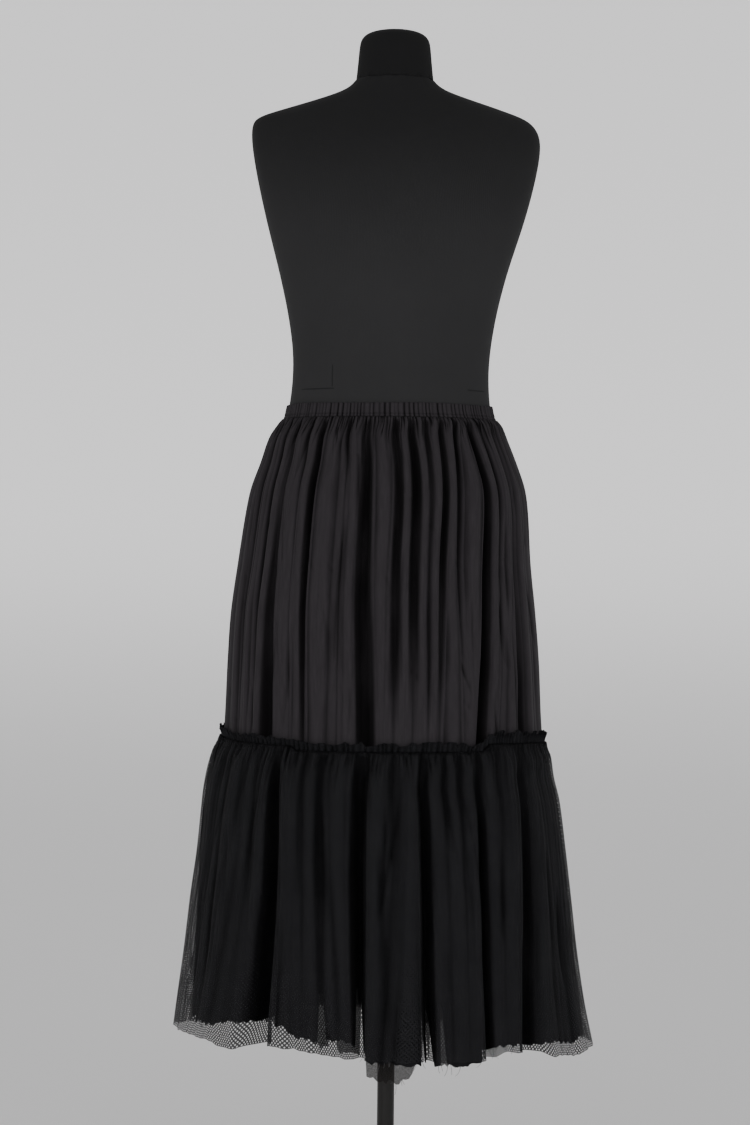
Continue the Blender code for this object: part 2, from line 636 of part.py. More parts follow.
def section_ring(mesh, section):
    """A ring of the dress form's vertices, rounder or squarer by its exponent."""
    ring = []
    power = 2.0 / section.square
    for index in range(FORM_COLUMNS):
        angle = math.tau * index / FORM_COLUMNS
        across, ahead = math.sin(angle), -math.cos(angle)
        wide = section.right if across >= 0 else section.left
        deep = section.back if ahead >= 0 else section.front
        x = math.copysign(wide * abs(across) ** power, across)
        y = math.copysign(deep * abs(ahead) ** power, ahead)
        ring.append(mesh.verts.new((x * MM, y * MM, section.height * MM)))
    return ring


def join_rings(mesh, rings):
    """Join rings of vertices with quads and close both ends with a face."""
    for lower, upper in zip(rings, rings[1:]):
        count = len(lower)
        for index in range(count):
            after = (index + 1) % count
            mesh.faces.new((lower[index], lower[after], upper[after], upper[index]))
    mesh.faces.new(list(reversed(rings[0])))
    mesh.faces.new(rings[-1])


def dress_form():
    """The torso: smooth, whole and without limbs."""
    mesh = bmesh.new()
    join_rings(mesh, [section_ring(mesh, section) for section in FORM_SECTIONS])
    finish("dress_form", mesh, "form_jersey")


def neck_block():
    """The block that closes the neck, with a domed top."""
    mesh = bmesh.new()
    rings = []
    for height, radius in NECK_PROFILE:
        ring = []
        for index in range(NECK_COLUMNS):
            angle = math.tau * index / NECK_COLUMNS
            x, y = radius * math.sin(angle), -radius * NECK_DEPTH_SHARE * math.cos(angle)
            ring.append(mesh.verts.new((x * MM, y * MM, height * MM)))
        rings.append(ring)
    join_rings(mesh, rings)
    top = mesh.verts.new((0.0, 0.0, NECK_TOP * MM))
    lid = next(face for face in mesh.faces if set(face.verts) == set(rings[-1]))
    mesh.faces.remove(lid)
    for index in range(NECK_COLUMNS):
        mesh.faces.new((rings[-1][index], rings[-1][(index + 1) % NECK_COLUMNS], top))
    finish("neck_block", mesh, "form_jersey")


def turned(name, profile, sides, shade):
    """A ring or disc turned about the pole's axis from a closed profile of (radius, height)."""
    mesh = bmesh.new()
    outline = [mesh.verts.new((radius * MM, 0.0, height * MM)) for radius, height in profile]
    edges = [mesh.edges.new((start, outline[(index + 1) % len(outline)])) for index, start in enumerate(outline)]
    bmesh.ops.spin(
        mesh, geom=outline + edges, cent=(0.0, 0.0, 0.0), axis=(0.0, 0.0, 1.0),
        angle=math.tau, steps=sides, use_merge=True,
    )
    bmesh.ops.remove_doubles(mesh, verts=mesh.verts[:], dist=MERGE_DISTANCE * MM)
    return finish(name, mesh, shade)


def pole():
    """The round pole, from the base plate to the underside of the form."""
    mesh = bmesh.new()
    bottom, top = BASE_THICKNESS + FIT_GAP, FORM_BOTTOM - FIT_GAP
    bmesh.ops.create_cone(
        mesh, cap_ends=True, segments=POLE_SIDES, radius1=POLE_RADIUS * MM, radius2=POLE_RADIUS * MM,
        depth=(top - bottom) * MM,
    )
    thing = finish("pole", mesh, "pole_metal")
    thing.location.z = (bottom + top) / 2 * MM


def base_plate():
    """The round plate that everything stands on, with a softened upper edge."""
    mesh = bmesh.new()
    bmesh.ops.create_cone(
        mesh, cap_ends=True, segments=BASE_SIDES, radius1=BASE_RADIUS * MM, radius2=BASE_RADIUS * MM,
        depth=BASE_THICKNESS * MM,
    )
    rim = [
        edge for edge in mesh.edges
        if all(vert.co.z > 0 for vert in edge.verts) and edge.calc_length() < BASE_RADIUS * MM / 2
    ]
    bmesh.ops.bevel(mesh, geom=rim, offset=BASE_EDGE * MM, segments=2, profile=0.5, affect="EDGES")
    thing = finish("base_plate", mesh, "pole_metal")
    thing.location.z = BASE_THICKNESS / 2 * MM


def fittings():
    """The boss on the base plate and the collar under the form, both round the pole."""
    bore = POLE_RADIUS + FIT_GAP
    low = BASE_THICKNESS + FIT_GAP
    turned("pole_boss", [
        (bore, low), (BOSS_RADIUS, low), (BOSS_RADIUS, low + BOSS_HEIGHT - BASE_EDGE),
        (BOSS_RADIUS - BASE_EDGE, low + BOSS_HEIGHT), (bore, low + BOSS_HEIGHT),
    ], POLE_SIDES, "pole_metal")
    high = FORM_BOTTOM - FIT_GAP
    turned("pole_collar", [
        (bore, high - COLLAR_HEIGHT), (COLLAR_RADIUS - BASE_EDGE, high - COLLAR_HEIGHT),
        (COLLAR_RADIUS, high - COLLAR_HEIGHT + BASE_EDGE), (COLLAR_RADIUS, high), (bore, high),
    ], POLE_SIDES, "pole_metal")


def main():
    clear_scene()
    waistband()
    for side, upper_folds, lower_folds in (
        ("front", UPPER_FRONT, LOWER_FRONT),
        ("back", UPPER_BACK, LOWER_BACK),
    ):
        upper_tier(side, upper_folds)
        heading(side)
        lower_tier(side, lower_folds)
        net(side, lower_folds)
        underskirt(side)
    dress_form()
    neck_block()
    pole()
    base_plate()
    fittings()


main()
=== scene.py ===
"""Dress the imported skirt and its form: gathered cloth, net, jersey, painted pole and a studio stage.

Sizes in the tables are millimetres, apart from bearings. A bearing is the angle round the skirt from the
centre front, in degrees, and it grows towards +X: 0 is the centre front, 90 the right side seam, 180 the
centre back.
"""

import math
from collections import namedtuple

import bpy
import numpy as np
from mathutils import Euler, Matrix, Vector


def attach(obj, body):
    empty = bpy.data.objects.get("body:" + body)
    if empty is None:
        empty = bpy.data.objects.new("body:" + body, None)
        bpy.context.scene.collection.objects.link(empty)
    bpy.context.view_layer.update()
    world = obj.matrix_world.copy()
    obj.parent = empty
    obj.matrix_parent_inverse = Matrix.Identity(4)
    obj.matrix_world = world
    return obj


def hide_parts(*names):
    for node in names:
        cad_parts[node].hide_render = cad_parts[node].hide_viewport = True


bl_info = {
    "name": "Gathered skirt on a dress form",
    "version": (1, 0, 0),
    "blender": (4, 5, 0),
    "location": "3D View > Sidebar > Skirt",
    "description": "Builds a two-tier gathered skirt with a net overskirt on a limbless dress form",
    "category": "Object",
}

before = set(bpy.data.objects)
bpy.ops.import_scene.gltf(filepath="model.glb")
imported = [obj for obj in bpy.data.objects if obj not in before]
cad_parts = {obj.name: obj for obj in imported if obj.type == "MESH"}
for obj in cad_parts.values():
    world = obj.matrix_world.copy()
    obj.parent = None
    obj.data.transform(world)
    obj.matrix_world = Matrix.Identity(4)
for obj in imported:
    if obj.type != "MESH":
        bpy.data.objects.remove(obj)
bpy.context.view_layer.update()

MM = 0.001
MM_PER_DEGREE = 3.5

# Heights of the main edges and how far apart the pieces sit
BAND_TOP = 1060.0
BAND_BOTTOM = 1041.0
BAND_SEAM_GAP = 0.5
LOWEST_TIER_SEAM = 602.5
TIER_LAP = 2.0
FIT_GAP = 0.3
SIDE_SEAM_GAP = 0.4
WAIST_HALF_WIDTH = 140.0

# Folds and the ridges between them: shares of a tier's length where they bend and fade in, and their profile
UPPER_KNEE = 0.25
LOWER_KNEE = 0.45
UPPER_FADE_IN = 0.05
UPPER_SEAM_REACH = 15.0
LOWER_FADE_IN = 0.12
NET_FADE_IN = 0.03
# Share down a tier over which the painted shade in its folds fades in
SHADE_FADE_IN = 0.02
RIPPLE_FADE_IN = 0.2
# Share down the lower tier and net below the tier seam that is painted in shade, darkest at the seam
SEAM_SHADE = 0.014
FOLD_FLOOR = 0.22
FOLD_SHARPNESS = 1.5
FOLD_CREASE_REACH = 3.2
FOLD_LEAN = 0.42
FOLD_LEAN_STEP = 3.3
CROWN_SHARE = 0.17
UPPER_CROWN = 4.5
LOWER_CROWN = 5.5
CREASE_FLOOR = 1.6
CREASE_SHARPNESS = 1.4
NET_FOLLOW = 0.82
NET_LEAST_SHARE = 0.55

# Fine grooves, low waves and the narrow gaps of the hems
GROOVE_SHARPNESS = 1.7
GROOVE_WIDENING = 0.6
GATHER_TAPER = 1.2
SOFT_TAPER = 0.8
BACK_SEED_STEP = 100
RIPPLE_WAVES = 7
RIPPLE_SLOPE = 0.35
SIDE_FADE_DEGREES = 2.5
NOTCH_CORE = 0.7
NOTCH_EDGE = 0.5

# The ruffled heading: where it stands and how uneven its ruffles are
HEADING_FOOT = 2.4
HEADING_FLARE = 5.0
RUFFLE_WIDTHS = (0.55, 1.45)
RUFFLE_STRENGTHS = (0.45, 1.25)
RUFFLE_HEIGHTS = (-0.38, 0.28)
RUFFLE_SWING = 0.85
RUFFLE_CURL = 0.55

# The elastic casing: crimps, the turned edge at its top as places and insets, its bulge and its stitching
CRIMP_WIDTHS = (0.6, 1.4)
CRIMP_DEPTHS = (0.6, 2.2)
BAND_TURN = [(-0.10, 2.3), (-0.04, 1.1)]
BAND_WAVE = 0.5
BAND_DIP = 0.6
BAND_BULGE = 0.9
STITCH_DEPTH = 0.8
STITCH_PLACE = 0.80
STITCH_WIDTH = 0.045

# The underskirt inside the tiers
UNDERSKIRT_INSET = 49.0
UNDERSKIRT_WAVE_DEPTH = 8.0
UNDERSKIRT_WAVES = 12
UNDERSKIRT_DRIFT_END = 0.3
UNDERSKIRT_FADE_IN = 0.05

Outline = namedtuple("Outline", "height left right front back")
Fold = namedtuple("Fold", "top knee low spread_top spread_low deep_top deep_knee deep_low")
Level = namedtuple("Level", "bearing height")
Crease = namedtuple("Crease", "high bearing_high middle bearing_middle low bearing_low width depth")
Notch = namedtuple("Notch", "bearing half_width height")
Line = namedtuple("Line", "bearing spread deep")
Sowing = namedtuple(
    "Sowing", "seed count first_start last_start shortest longest narrow wide shallow deep slant"
)
Ripple = namedtuple("Ripple", "seed depth shortest longest")
Torn = namedtuple("Torn", "seed depth spacing")
Grid = namedtuple("Grid", "length across down finer_top")
FoldShade = namedtuple("FoldShade", "reach least full power share")
Lamp = namedtuple("Lamp", "name place target size power colour")


def table(kind, *rows):
    """Rows of one kind."""
    return [kind(*row) for row in rows]


BAND_OUTLINE = table(
    Outline, (1060, 142.4, 136.4, 106.6, 106.6), (1050, 144, 138, 107.6, 107.6),
    (1041, 147, 141.8, 110, 110),
)
UPPER_OUTLINE = table(
    Outline, (1041, 148, 143, 111, 111), (1034, 154, 149, 117, 117), (1016, 165.5, 156.5, 127, 128),
    (982, 177, 170, 140, 142), (949, 189, 181, 151, 154), (916, 196, 185.5, 158, 162),
    (849, 206, 189.5, 166, 172), (782, 215, 196.5, 173, 180), (716, 219, 202, 178, 186),
    (649, 221.5, 205, 181, 190), (610, 223.6, 207.4, 183, 192),
)
LOWER_OUTLINE = table(
    Outline, (616, 226.2, 210, 185.8, 194.8), (606, 230, 212, 189, 198), (596, 235, 216, 194, 203),
    (568, 242.5, 220, 201, 210), (534, 248, 228, 206, 216), (465, 254, 237, 213, 224),
    (397, 256.5, 245, 220, 231), (329, 259, 252, 226, 237), (260, 262, 261, 231, 242),
    (200, 265, 268, 235, 246),
)
NET_STAND_OFF = table(
    Outline, (616, 2.6, 3.2, 3.2, 2.6), (568, 3.5, 3.6, 3.6, 3.6), (465, 4, 3.8, 4, 4.2),
    (397, 10.5, 4, 5, 6), (329, 15.5, 5, 6, 8), (260, 21.5, 6.5, 7.5, 10), (200, 26, 12, 9, 12),
)

# Folds in order round each tier: bearings, half widths and depths from its upper edge to its lower one
UPPER_FOLDS = {
    "front": table(
        Fold, (-79.5, -79.5, -77.5, 3, 3, 7, 7, 3), (-70.5, -67.5, -64.5, 2.8, 3, 8, 7, 3),
        (-62, -57.5, -56.5, 2.8, 2.6, 9, 12, 1), (-51.5, -48.5, -45.6, 2.6, 6, 8, 6, 16),
        (-43.5, -40.5, -36.2, 2.6, 2.2, 10, 3, 0), (-34, -33, -29.3, 2.6, 1.8, 10, 15, 5),
        (-21.5, -18.5, -17.5, 2.6, 3, 10, 3, 0.5), (-10.5, -8.6, -5.9, 3.6, 4.6, 10, 16, 18),
        (2.6, 4.2, 3, 2.6, 3, 10, 13, 1), (11, 11.8, 10.4, 3, 3, 11, 14, 0.5),
        (18.4, 18, 15.6, 2.4, 1.8, 7, 4, 0), (26.5, 24, 19.8, 2.4, 2, 10, 13, 1.5),
        (35.3, 31, 30.6, 2.4, 2, 10, 9, 0.5), (43, 45.5, 36.6, 2.6, 3.4, 11, 19, 25),
        (53, 54, 47, 2.4, 3, 8, 6, 0.5), (63, 63, 60.5, 3, 4, 9, 5, 12), (76, 76, 77, 3.2, 3.6, 7, 6, 2),
    ),
    "back": table(
        Fold, (103, 102, 101.5, 3.2, 3.6, 8, 5, 1), (114, 115, 112, 2.9, 3.8, 8, 11, 6),
        (124, 124.5, 123, 2.6, 3.6, 8, 4, 1), (133.5, 132, 136, 2.7, 3.6, 11, 16, 17),
        (143, 142.5, 145, 2.4, 3, 10, 5, 1), (152, 153, 155, 2.6, 3.2, 10, 11, 6),
        (162, 163, 163.5, 2.6, 3, 8, 5, 1), (171, 172, 172, 2.4, 3.2, 11, 13, 4),
        (181, 181, 181.5, 2.6, 3, 8, 5, 1), (190.5, 189, 191, 2.6, 4, 10, 14, 13),
        (201, 199.5, 201, 2.9, 3.6, 8, 4, 1), (212, 213.5, 210.5, 2.9, 3.4, 11, 14, 8),
        (223, 224.5, 221, 2.9, 3.6, 8, 5, 1), (234, 236, 233, 2.9, 4, 10, 13, 10),
        (246, 246.5, 246, 3, 4, 8, 5, 1), (258, 258, 259, 3.2, 4, 8, 5, 1),
    ),
}
LOWER_FOLDS = {
    "front": table(
        Fold, (-80, -81, -82, 3.4, 3.4, 4, 3, 3), (-63, -66, -68, 3.8, 4.4, 5, 5, 3),
        (-46.5, -47, -53, 3.8, 4.4, 6, 6, 3), (-36.4, -35, -37.2, 3.8, 5.4, 13, 32, 42),
        (-27.3, -25.5, -25, 2.6, 2.6, 5, 2, 0.5), (-19.5, -18.6, -17, 3, 3, 6, 6, 4),
        (-7.2, -8, -8.3, 4, 2.4, 17, 34, 34), (5, 3.4, -1.2, 3.4, 2.6, 5, 5, 4),
        (13.6, 13, 11.2, 2.6, 2.4, 11, 26, 32), (21, 20.1, 18.2, 2.4, 2.2, 5, 2, 0.5),
        (26.4, 25.4, 23, 2.4, 2, 5, 1.5, 0.5), (33.6, 32, 29.2, 2.6, 1.9, 9, 20, 24),
        (43, 40, 35.1, 3.2, 1.9, 5, 3, 1), (54, 50, 42.8, 4.4, 3.8, 9, 18, 25),
        (67, 66, 61, 3.8, 4.2, 5, 4, 4), (79, 79, 77, 3.6, 3.8, 4, 4, 4),
    ),
    "back": table(
        Fold, (101, 101, 102, 3.6, 3.8, 4, 3, 4), (112.5, 113, 114, 3.8, 4.6, 9, 20, 28),
        (125, 126, 127, 3.6, 3.6, 5, 3, 1), (135, 136, 136, 3.4, 2.8, 10, 24, 30),
        (145, 145.5, 146, 3.2, 3.2, 5, 4, 3), (156, 157, 158, 3.6, 4.6, 14, 30, 38),
        (167, 168, 169.5, 3.2, 3.2, 5, 3, 1), (177, 176.5, 178.5, 3.2, 2.6, 11, 26, 30),
        (187, 186, 187.5, 3.2, 3, 5, 5, 3), (198, 197, 197, 3.6, 3.2, 15, 32, 36),
        (209, 209, 209, 3.4, 3.4, 5, 3, 1), (221, 222, 223, 3.8, 4.8, 12, 28, 38),
        (234, 235, 236, 3.6, 3.6, 5, 4, 2), (247, 247, 248, 3.6, 3.4, 9, 18, 24),
        (259, 259.5, 260, 3.4, 3.4, 4, 3, 3),
    ),
}

# Edges that go up and down round the skirt
SEAM_LEVELS = table(
    Level, (-90, 613.5), (-60, 610), (-33.5, 608.5), (-30.5, 602.5), (35.5, 602.5), (40, 611.5),
    (60, 610.5), (90, 607), (135, 604.5), (180, 606), (225, 609), (270, 613.5),
)
HEADING_HEIGHTS = table(
    Level, (-90, 11.5), (-30, 10.5), (34, 10.5), (39, 15), (70, 14), (100, 11.5), (270, 11.5),
)
LOWER_HEM = table(
    Level, (-90, 234), (-70, 237), (-46, 250), (-40, 256), (-32, 252), (-26, 238), (-12, 238), (-5, 211),
    (14, 208), (25, 207), (32, 228), (48, 226), (74, 215), (90, 214), (115, 222), (138, 232), (150, 228),
    (165, 214), (186, 218), (205, 236), (225, 228), (250, 226), (270, 234),
)
NET_HEM = table(
    Level, (-90, 222), (-70, 226), (-58, 224), (-48, 218), (-38, 226), (-28, 227), (-19, 222), (-8, 216),
    (12, 213), (28, 213), (34, 222), (45, 218), (54, 208), (65, 203), (90, 201), (112, 206), (130, 216),
    (150, 214), (170, 208), (190, 210), (210, 221), (230, 217), (250, 213), (270, 222),
)
UNDERSKIRT_HEM = table(
    Level, (-90, 246), (-60, 246), (-40, 250), (-24, 222), (-9.5, 212), (-6.5, 181), (2, 178), (7, 182),
    (9.5, 202), (14, 206), (26, 198), (36, 226), (60, 234), (90, 232), (120, 236), (145, 216), (165, 198),
    (185, 204), (210, 230), (240, 238), (270, 246),
)
# Narrow gaps in the dense layers' hems, where only the net covers the light behind
HEM_NOTCHES = table(
    Notch, (-18.9, 0.7, 298), (-8.5, 0.7, 302), (10.5, 0.8, 270), (12.6, 0.4, 274), (15.7, 0.7, 282),
    (148, 0.9, 280), (190, 0.8, 292), (204, 1, 276),
)

# Creases placed one by one, from their upper end through a middle to their lower end
UPPER_CREASES = table(
    Crease, (1034, -28.2, 1020, -26, 1006, -24.4, 5, 2.6), (1029, -15.5, 993, -14.1, 852, -8.7, 6, 2.4),
    (980, -10.3, 852, -6.8, 718, -4.6, 9, 2.4), (1020, 18.7, 1005, 19, 988, 19.4, 5, 2.4),
    (930, -47.3, 890, -45.4, 845, -43.2, 5, 2), (722, 29, 700, 31.2, 678, 33.4, 5, 2.6),
    (840, 59.5, 744, 56.5, 640, 58, 8, 3.6), (846, 73, 800, 78, 740, 82, 9, 3.4),
    (711, 9.2, 704, 11.2, 695, 13.6, 4, 1.6), (670, 29.8, 662, 32, 653, 34.6, 4, 1.8),
    (808, -24.6, 786, -22.8, 760, -22, 6, 1.6), (900, 8, 820, 6.4, 700, 6.2, 5, 1.8),
    (760, -38, 700, -37, 622, -38.4, 7, 2.4), (700, -58, 660, -56, 618, -54.6, 7, 2.6),
    (690, 45, 655, 44, 616, 45.4, 6, 2.4), (700, -12.6, 660, -12, 608, -12.8, 6, 2),
    (1030, 108, 980, 109, 900, 108, 6, 2.6), (1024, 128.5, 990, 129, 940, 128, 6, 2.4),
    (900, 140, 800, 138.5, 690, 140.5, 8, 2.8), (1030, 158, 960, 158.4, 860, 159, 6, 2.6),
    (830, 166.5, 740, 168, 640, 167.4, 7, 2.6), (1026, 176, 990, 176.5, 930, 176, 5, 2.2),
    (880, 184.5, 780, 185.6, 660, 186.2, 7, 2.4), (1030, 206, 970, 206.5, 880, 206.8, 6, 2.6),
    (780, 216.5, 700, 215.5, 620, 216, 7, 2.6), (960, 229.5, 860, 230, 740, 229, 8, 2.8),
    (700, 240.5, 660, 239.6, 620, 240, 6, 2.4),
)
LOWER_CREASES = table(
    Crease, (604, -62.3, 542, -61, 466, -66.6, 5, 2.6), (604, -42.5, 534, -42.9, 490, -45.3, 4.5, 2.8),
    (560, -44.6, 470, -46, 390, -49.9, 5, 2.2), (596, -27.9, 565, -27.2, 528, -26.7, 4, 2),
    (597, -20.7, 518, -18.9, 405, -16.6, 5, 2.8), (585, 7.4, 518, 5, 360, -3.7, 5, 2.8),
    (582, 25.3, 463, 30, 330, 31.3, 4, 2), (262, -20.6, 244, -16, 228, -11.6, 6, 3),
    (560, -72, 470, -73, 330, -75, 6, 2.4), (500, -56, 400, -58, 260, -60, 6, 2.4),
    (590, 60, 500, 59, 380, 54, 6, 2.4), (560, 73, 440, 72, 300, 69, 6, 2.4),
    (590, 107, 500, 107.5, 360, 108, 6, 2.4), (560, 130, 450, 131, 300, 131.5, 6, 2.4),
    (590, 151, 500, 151, 390, 152, 5, 2.6), (540, 172, 430, 172.5, 300, 174, 6, 2.4),
    (590, 192.5, 480, 191.5, 350, 192, 6, 2.6), (560, 215, 460, 215.5, 330, 216, 6, 2.4),
    (590, 228.5, 470, 228, 330, 229, 6, 2.6), (560, 253, 450, 253.5, 320, 254, 6, 2.4),
)

# Sown grooves: where they start down the piece, their lengths, widths, depths and slant in degrees
UPPER_GATHERS = Sowing(11, 84, 0, 0, 12, 110, 2.2, 3.8, 2.4, 6.2, 1.5)
UPPER_SOFT_FOLDS = Sowing(12, 24, 10, 260, 90, 260, 5, 11, 1.4, 4.4, 2.5)
UPPER_WRINKLES = Sowing(13, 34, 10, 400, 14, 46, 4, 8, 0.4, 1.1, 9)
UPPER_SEAM_PUCKERS = Sowing(14, 70, 0, 0, 6, 34, 3.5, 6.5, 0.5, 1.5, 0.8)
LOWER_GATHERS = Sowing(21, 90, 0, 0, 14, 130, 2.8, 5, 2.4, 6, 2.2)
LOWER_LONG_CREASES = Sowing(22, 30, 0, 220, 120, 340, 4, 9, 1.4, 4.4, 3.4)
NET_GATHERS = Sowing(31, 70, 0, 0, 12, 120, 4, 7, 0.4, 1.2, 1.5)
NET_SOFT_FOLDS = Sowing(32, 26, 20, 200, 100, 300, 7, 14, 0.5, 1.3, 2)
UNDERSKIRT_CREASES = Sowing(41, 40, 0, 200, 80, 300, 5, 12, 0.8, 2.4, 2)

# Low waves of each cloth, and its torn edges
UPPER_RIPPLE = Ripple(5, 0.7, 24, 70)
LOWER_RIPPLE = Ripple(6, 0.8, 16, 60)
NET_RIPPLE = Ripple(7, 0.35, 18, 60)
UNDERSKIRT_RIPPLE = Ripple(8, 1.2, 20, 60)
LOWER_TORN = Torn(61, 2.6, 0.8)
NET_TORN = Torn(62, 1.5, 1.6)
UNDERSKIRT_TORN = Torn(63, 4.6, 0.8)
HEADING_TORN = Torn(73, 0.8, 0.45)

# Mesh of each cloth: its longest length, shares of the common spacings across and down, and how much closer
# its rows lie near the top
UPPER_GRID = Grid(438.5, 0.75, 1.2, 1.35)
LOWER_GRID = Grid(382.5, 1.0, 1.12, 1.2)
NET_GRID = Grid(387.5, 1.1, 1.2, 1.15)
UNDERSKIRT_GRID = Grid(392.5, 1.5, 1.5, 1.0)
HEADING_ROWS = 9
HEADING_COLUMNS = 9
BAND_ROWS = 15
CRIMP_COLUMNS = 7

# Painted shade in folds and creases: columns to a side, depth at which it starts, depth over it at which it
# is full, how fast it darkens and how much
WIDE_FOLD_SHADE = FoldShade(11, 2.0, 14.0, 1.3, 0.8)
NARROW_CREASE_SHADE = FoldShade(3, 0.6, 2.6, 1.0, 0.85)

# Seeds of the pieces that are uneven in a way of their own
HEADING_SEEDS = {"front": 71, "back": 72}
BAND_SEED = 81
THREAD_SEED = 91

# Loose threads, in metres: how far they start above the hem, their lengths, and how they lean and bend
THREAD_START = 0.0015
THREAD_LENGTHS = (0.005, 0.022)
THREAD_LEAN = 0.6
THREAD_BEND = 0.8
THREAD_POINTS = 7
THREAD_SHARES = {"lower": 0.6, "underskirt": 0.4}

# Short seams of the form's cover, in metres: heights or places across, and over how far their ends fade
COVER_SEAM = 1.0788
COVER_SEAM_LEFT = ((-0.122, 0.004), (-0.079, 0.003))
COVER_SEAM_RIGHT = ((0.098, 0.004), (0.121, 0.004))
COVER_UPRIGHT = -0.0795
COVER_UPRIGHT_SPAN = ((1.080, 0.003), (1.108, 0.004))

# Heights in metres between which the form's jersey is darkened upwards with painted shade, and how much
SHOULDER_SHADE = (1.2, 1.47)
SHOULDER_SHADE_SHARE = 0.62

# Gathers drawn as painted shade in the material under each seam, in metres: spacing and longest reach
BAND_GATHERS = (0.0082, 0.06)
TIER_GATHERS = (0.0095, 0.07)

# The form's pieces: CAD node, name, material's name and lightness
FORM_PIECES = (
    ("dress_form", "jersey_torso", "form_jersey", 1.0),
    ("neck_block", "jersey_neck_block", "neck_jersey", 0.8),
)
# Thickness of the silk as a share of the cotton's
SILK_WALL_SHARE = 0.8

# Rounding of the form: angles up to which triangles are joined, edges stay soft and shading is smooth
QUAD_ANGLE = math.radians(50)
QUAD_SHAPE = math.radians(60)
SHARP_ANGLE = math.radians(55)
SMOOTH_ANGLE = math.radians(40)
ROUNDING_LEVELS = 2

# Rings of the studio's shell round the stage: radius and height in metres
STAGE_PROFILE = [
    (5.0, 0.0), (7.0, 0.06), (8.6, 0.34), (9.8, 0.95), (10.6, 1.9), (11.0, 3.2), (11.1, 5.4),
]

# Soft lights in front of the stage, and the light of the air all round
LAMPS = [
    Lamp("key_light", (-2.4, -5.0, 1.25), (0.0, 0.0, 0.75), 2.0, 56.0, (1.0, 0.99, 0.98)),
    Lamp("fill_light", (2.8, -4.8, 1.15), (0.0, 0.0, 0.75), 2.0, 40.0, (0.98, 0.99, 1.0)),
]
AIR_LIGHT = 0.46

# Glow of the studio's wall, the shares of it that its floor and its upper edge have, and the heights in
# metres between which they change
WALL_GLOW = 0.90
FLOOR_GLOW = 0.29
TOP_GLOW = 0.86
FLOOR_TO_WALL = (-0.2, 1.1)
WALL_TO_TOP = (1.2, 3.4)

# The camera: place in metres, tilt and roll in degrees, lens and sensor in millimetres
CAMERA_PLACE = (-0.0209, -4.0, 0.849)
CAMERA_TILT = 90.0
CAMERA_ROLL = -0.52
CAMERA_LENS = 94.8
CAMERA_SENSOR = 36.0


def size_field(name, description, default):
    """A length in metres that a user may change."""
    return bpy.props.FloatProperty(name=name, description=description, default=default, unit="LENGTH")


def count_field(name, description, default):
    """A count that a user may change."""
    return bpy.props.IntProperty(name=name, description=description, default=default)


def colour_field(name, description, default):
    """A colour that a user may change."""
    return bpy.props.FloatVectorProperty(
        name=name, description=description, subtype="COLOR", size=3, default=default,
    )


class SkirtSizes(bpy.types.PropertyGroup):
    """Sizes of the cloth and its small parts, in metres."""

    cloth_wall: size_field("Cloth thickness", "Thickness of the cotton and silk", 0.0005)
    grid: size_field("Mesh spacing", "Distance between the columns of a cloth mesh", 0.0026)
    row_spacing: size_field("Row spacing", "Distance between the rows of a cloth mesh", 0.0042)
    net_cell: size_field("Net cell", "Width of one hole of the net and its thread", 0.0029)
    thread_radius: size_field("Thread radius", "Radius of the loose threads at the hems", 0.00022)
    band_crimps: count_field("Band crimps", "Crimps round the elastic waistband", 148)
    ruffles: count_field("Heading ruffles", "Ruffles round the raw heading of the lower tier", 200)
    loose_threads: count_field("Loose threads", "Loose threads at the raw hems", 170)


class SkirtColours(bpy.types.PropertyGroup):
    """Colours of the cloth, the form and the stage."""

    jersey: colour_field("Jersey", "Colour of the form's jersey", (0.032, 0.032, 0.033))
    cotton: colour_field("Cotton voile", "Colour of the upper tier and waistband", (0.033, 0.0298, 0.033))
    silk: colour_field("Silk organza", "Colour of the lower tier and heading", (0.0185, 0.0185, 0.0205))
    net: colour_field("Net", "Colour of the net's threads", (0.0185, 0.0185, 0.020))
    sheer: colour_field("Sheer lining", "Colour of the sheer underskirt", (0.012, 0.0105, 0.010))
    metal: colour_field("Pole paint", "Colour of the pole, its fittings and base", (0.011, 0.0102, 0.0094))
    backdrop: colour_field("Backdrop", "Colour of the floor and the wall", (0.70, 0.696, 0.70))


def eased(share):
    """Ease from 0 to 1, level at both ends."""
    share = np.clip(share, 0.0, 1.0)
    return share * share * (3.0 - 2.0 * share)


def curve(places, values, at):
    """A smooth curve through values at rising places."""
    last = len(places) - 1
    at = np.clip(at, places[0], places[-1])

    def slope(i):
        before, after = max(i - 1, 0), min(i + 1, last)
        return (values[after] - values[before]) / (places[after] - places[before])

    result = np.full(np.shape(at), float(values[0]))
    for i in range(last):
        span = places[i + 1] - places[i]
        share = (at - places[i]) / span
        square, cube = share ** 2, share ** 3
        part = (
            (2 * cube - 3 * square + 1) * values[i]
            + (cube - 2 * square + share) * span * slope(i)
            + (3 * square - 2 * cube) * values[i + 1]
            + (cube - square) * span * slope(i + 1)
        )
        result = np.where(at > places[i], part, result)
    return result


def outline_at(outline, height):
    """Left, right, front and back half sizes of an outline at heights."""
    heights, *sides = zip(*sorted(outline))
    return [curve(heights, side, height) for side in sides]


def level_at(levels, bearing):
    """Height of an edge at bearings, eased between the levels of its table."""
    wrapped = (np.asarray(bearing) + 90.0) % 360.0 - 90.0
    result = np.full(wrapped.shape, levels[-1].height)
    for low, high in zip(levels, levels[1:]):
        share = eased((wrapped - low.bearing) / (high.bearing - low.bearing))
        height = low.height + share * (high.height - low.height)
        result = np.where((wrapped >= low.bearing) & (wrapped <= high.bearing), height, result)
    return result


def seam_height(bearing):
    """Height of the upper tier's lower edge."""
    return level_at(SEAM_LEVELS, bearing)


def lower_top(bearing):
    """Height of the upper edge of the lower tier and the net."""
    return seam_height(bearing) + TIER_LAP


def lower_lift(bearing, down):
    """How far above its own height a place of the lower tier reads its outline."""
    return (LOWER_OUTLINE[0].height - lower_top(bearing)) * (1.0 - down)


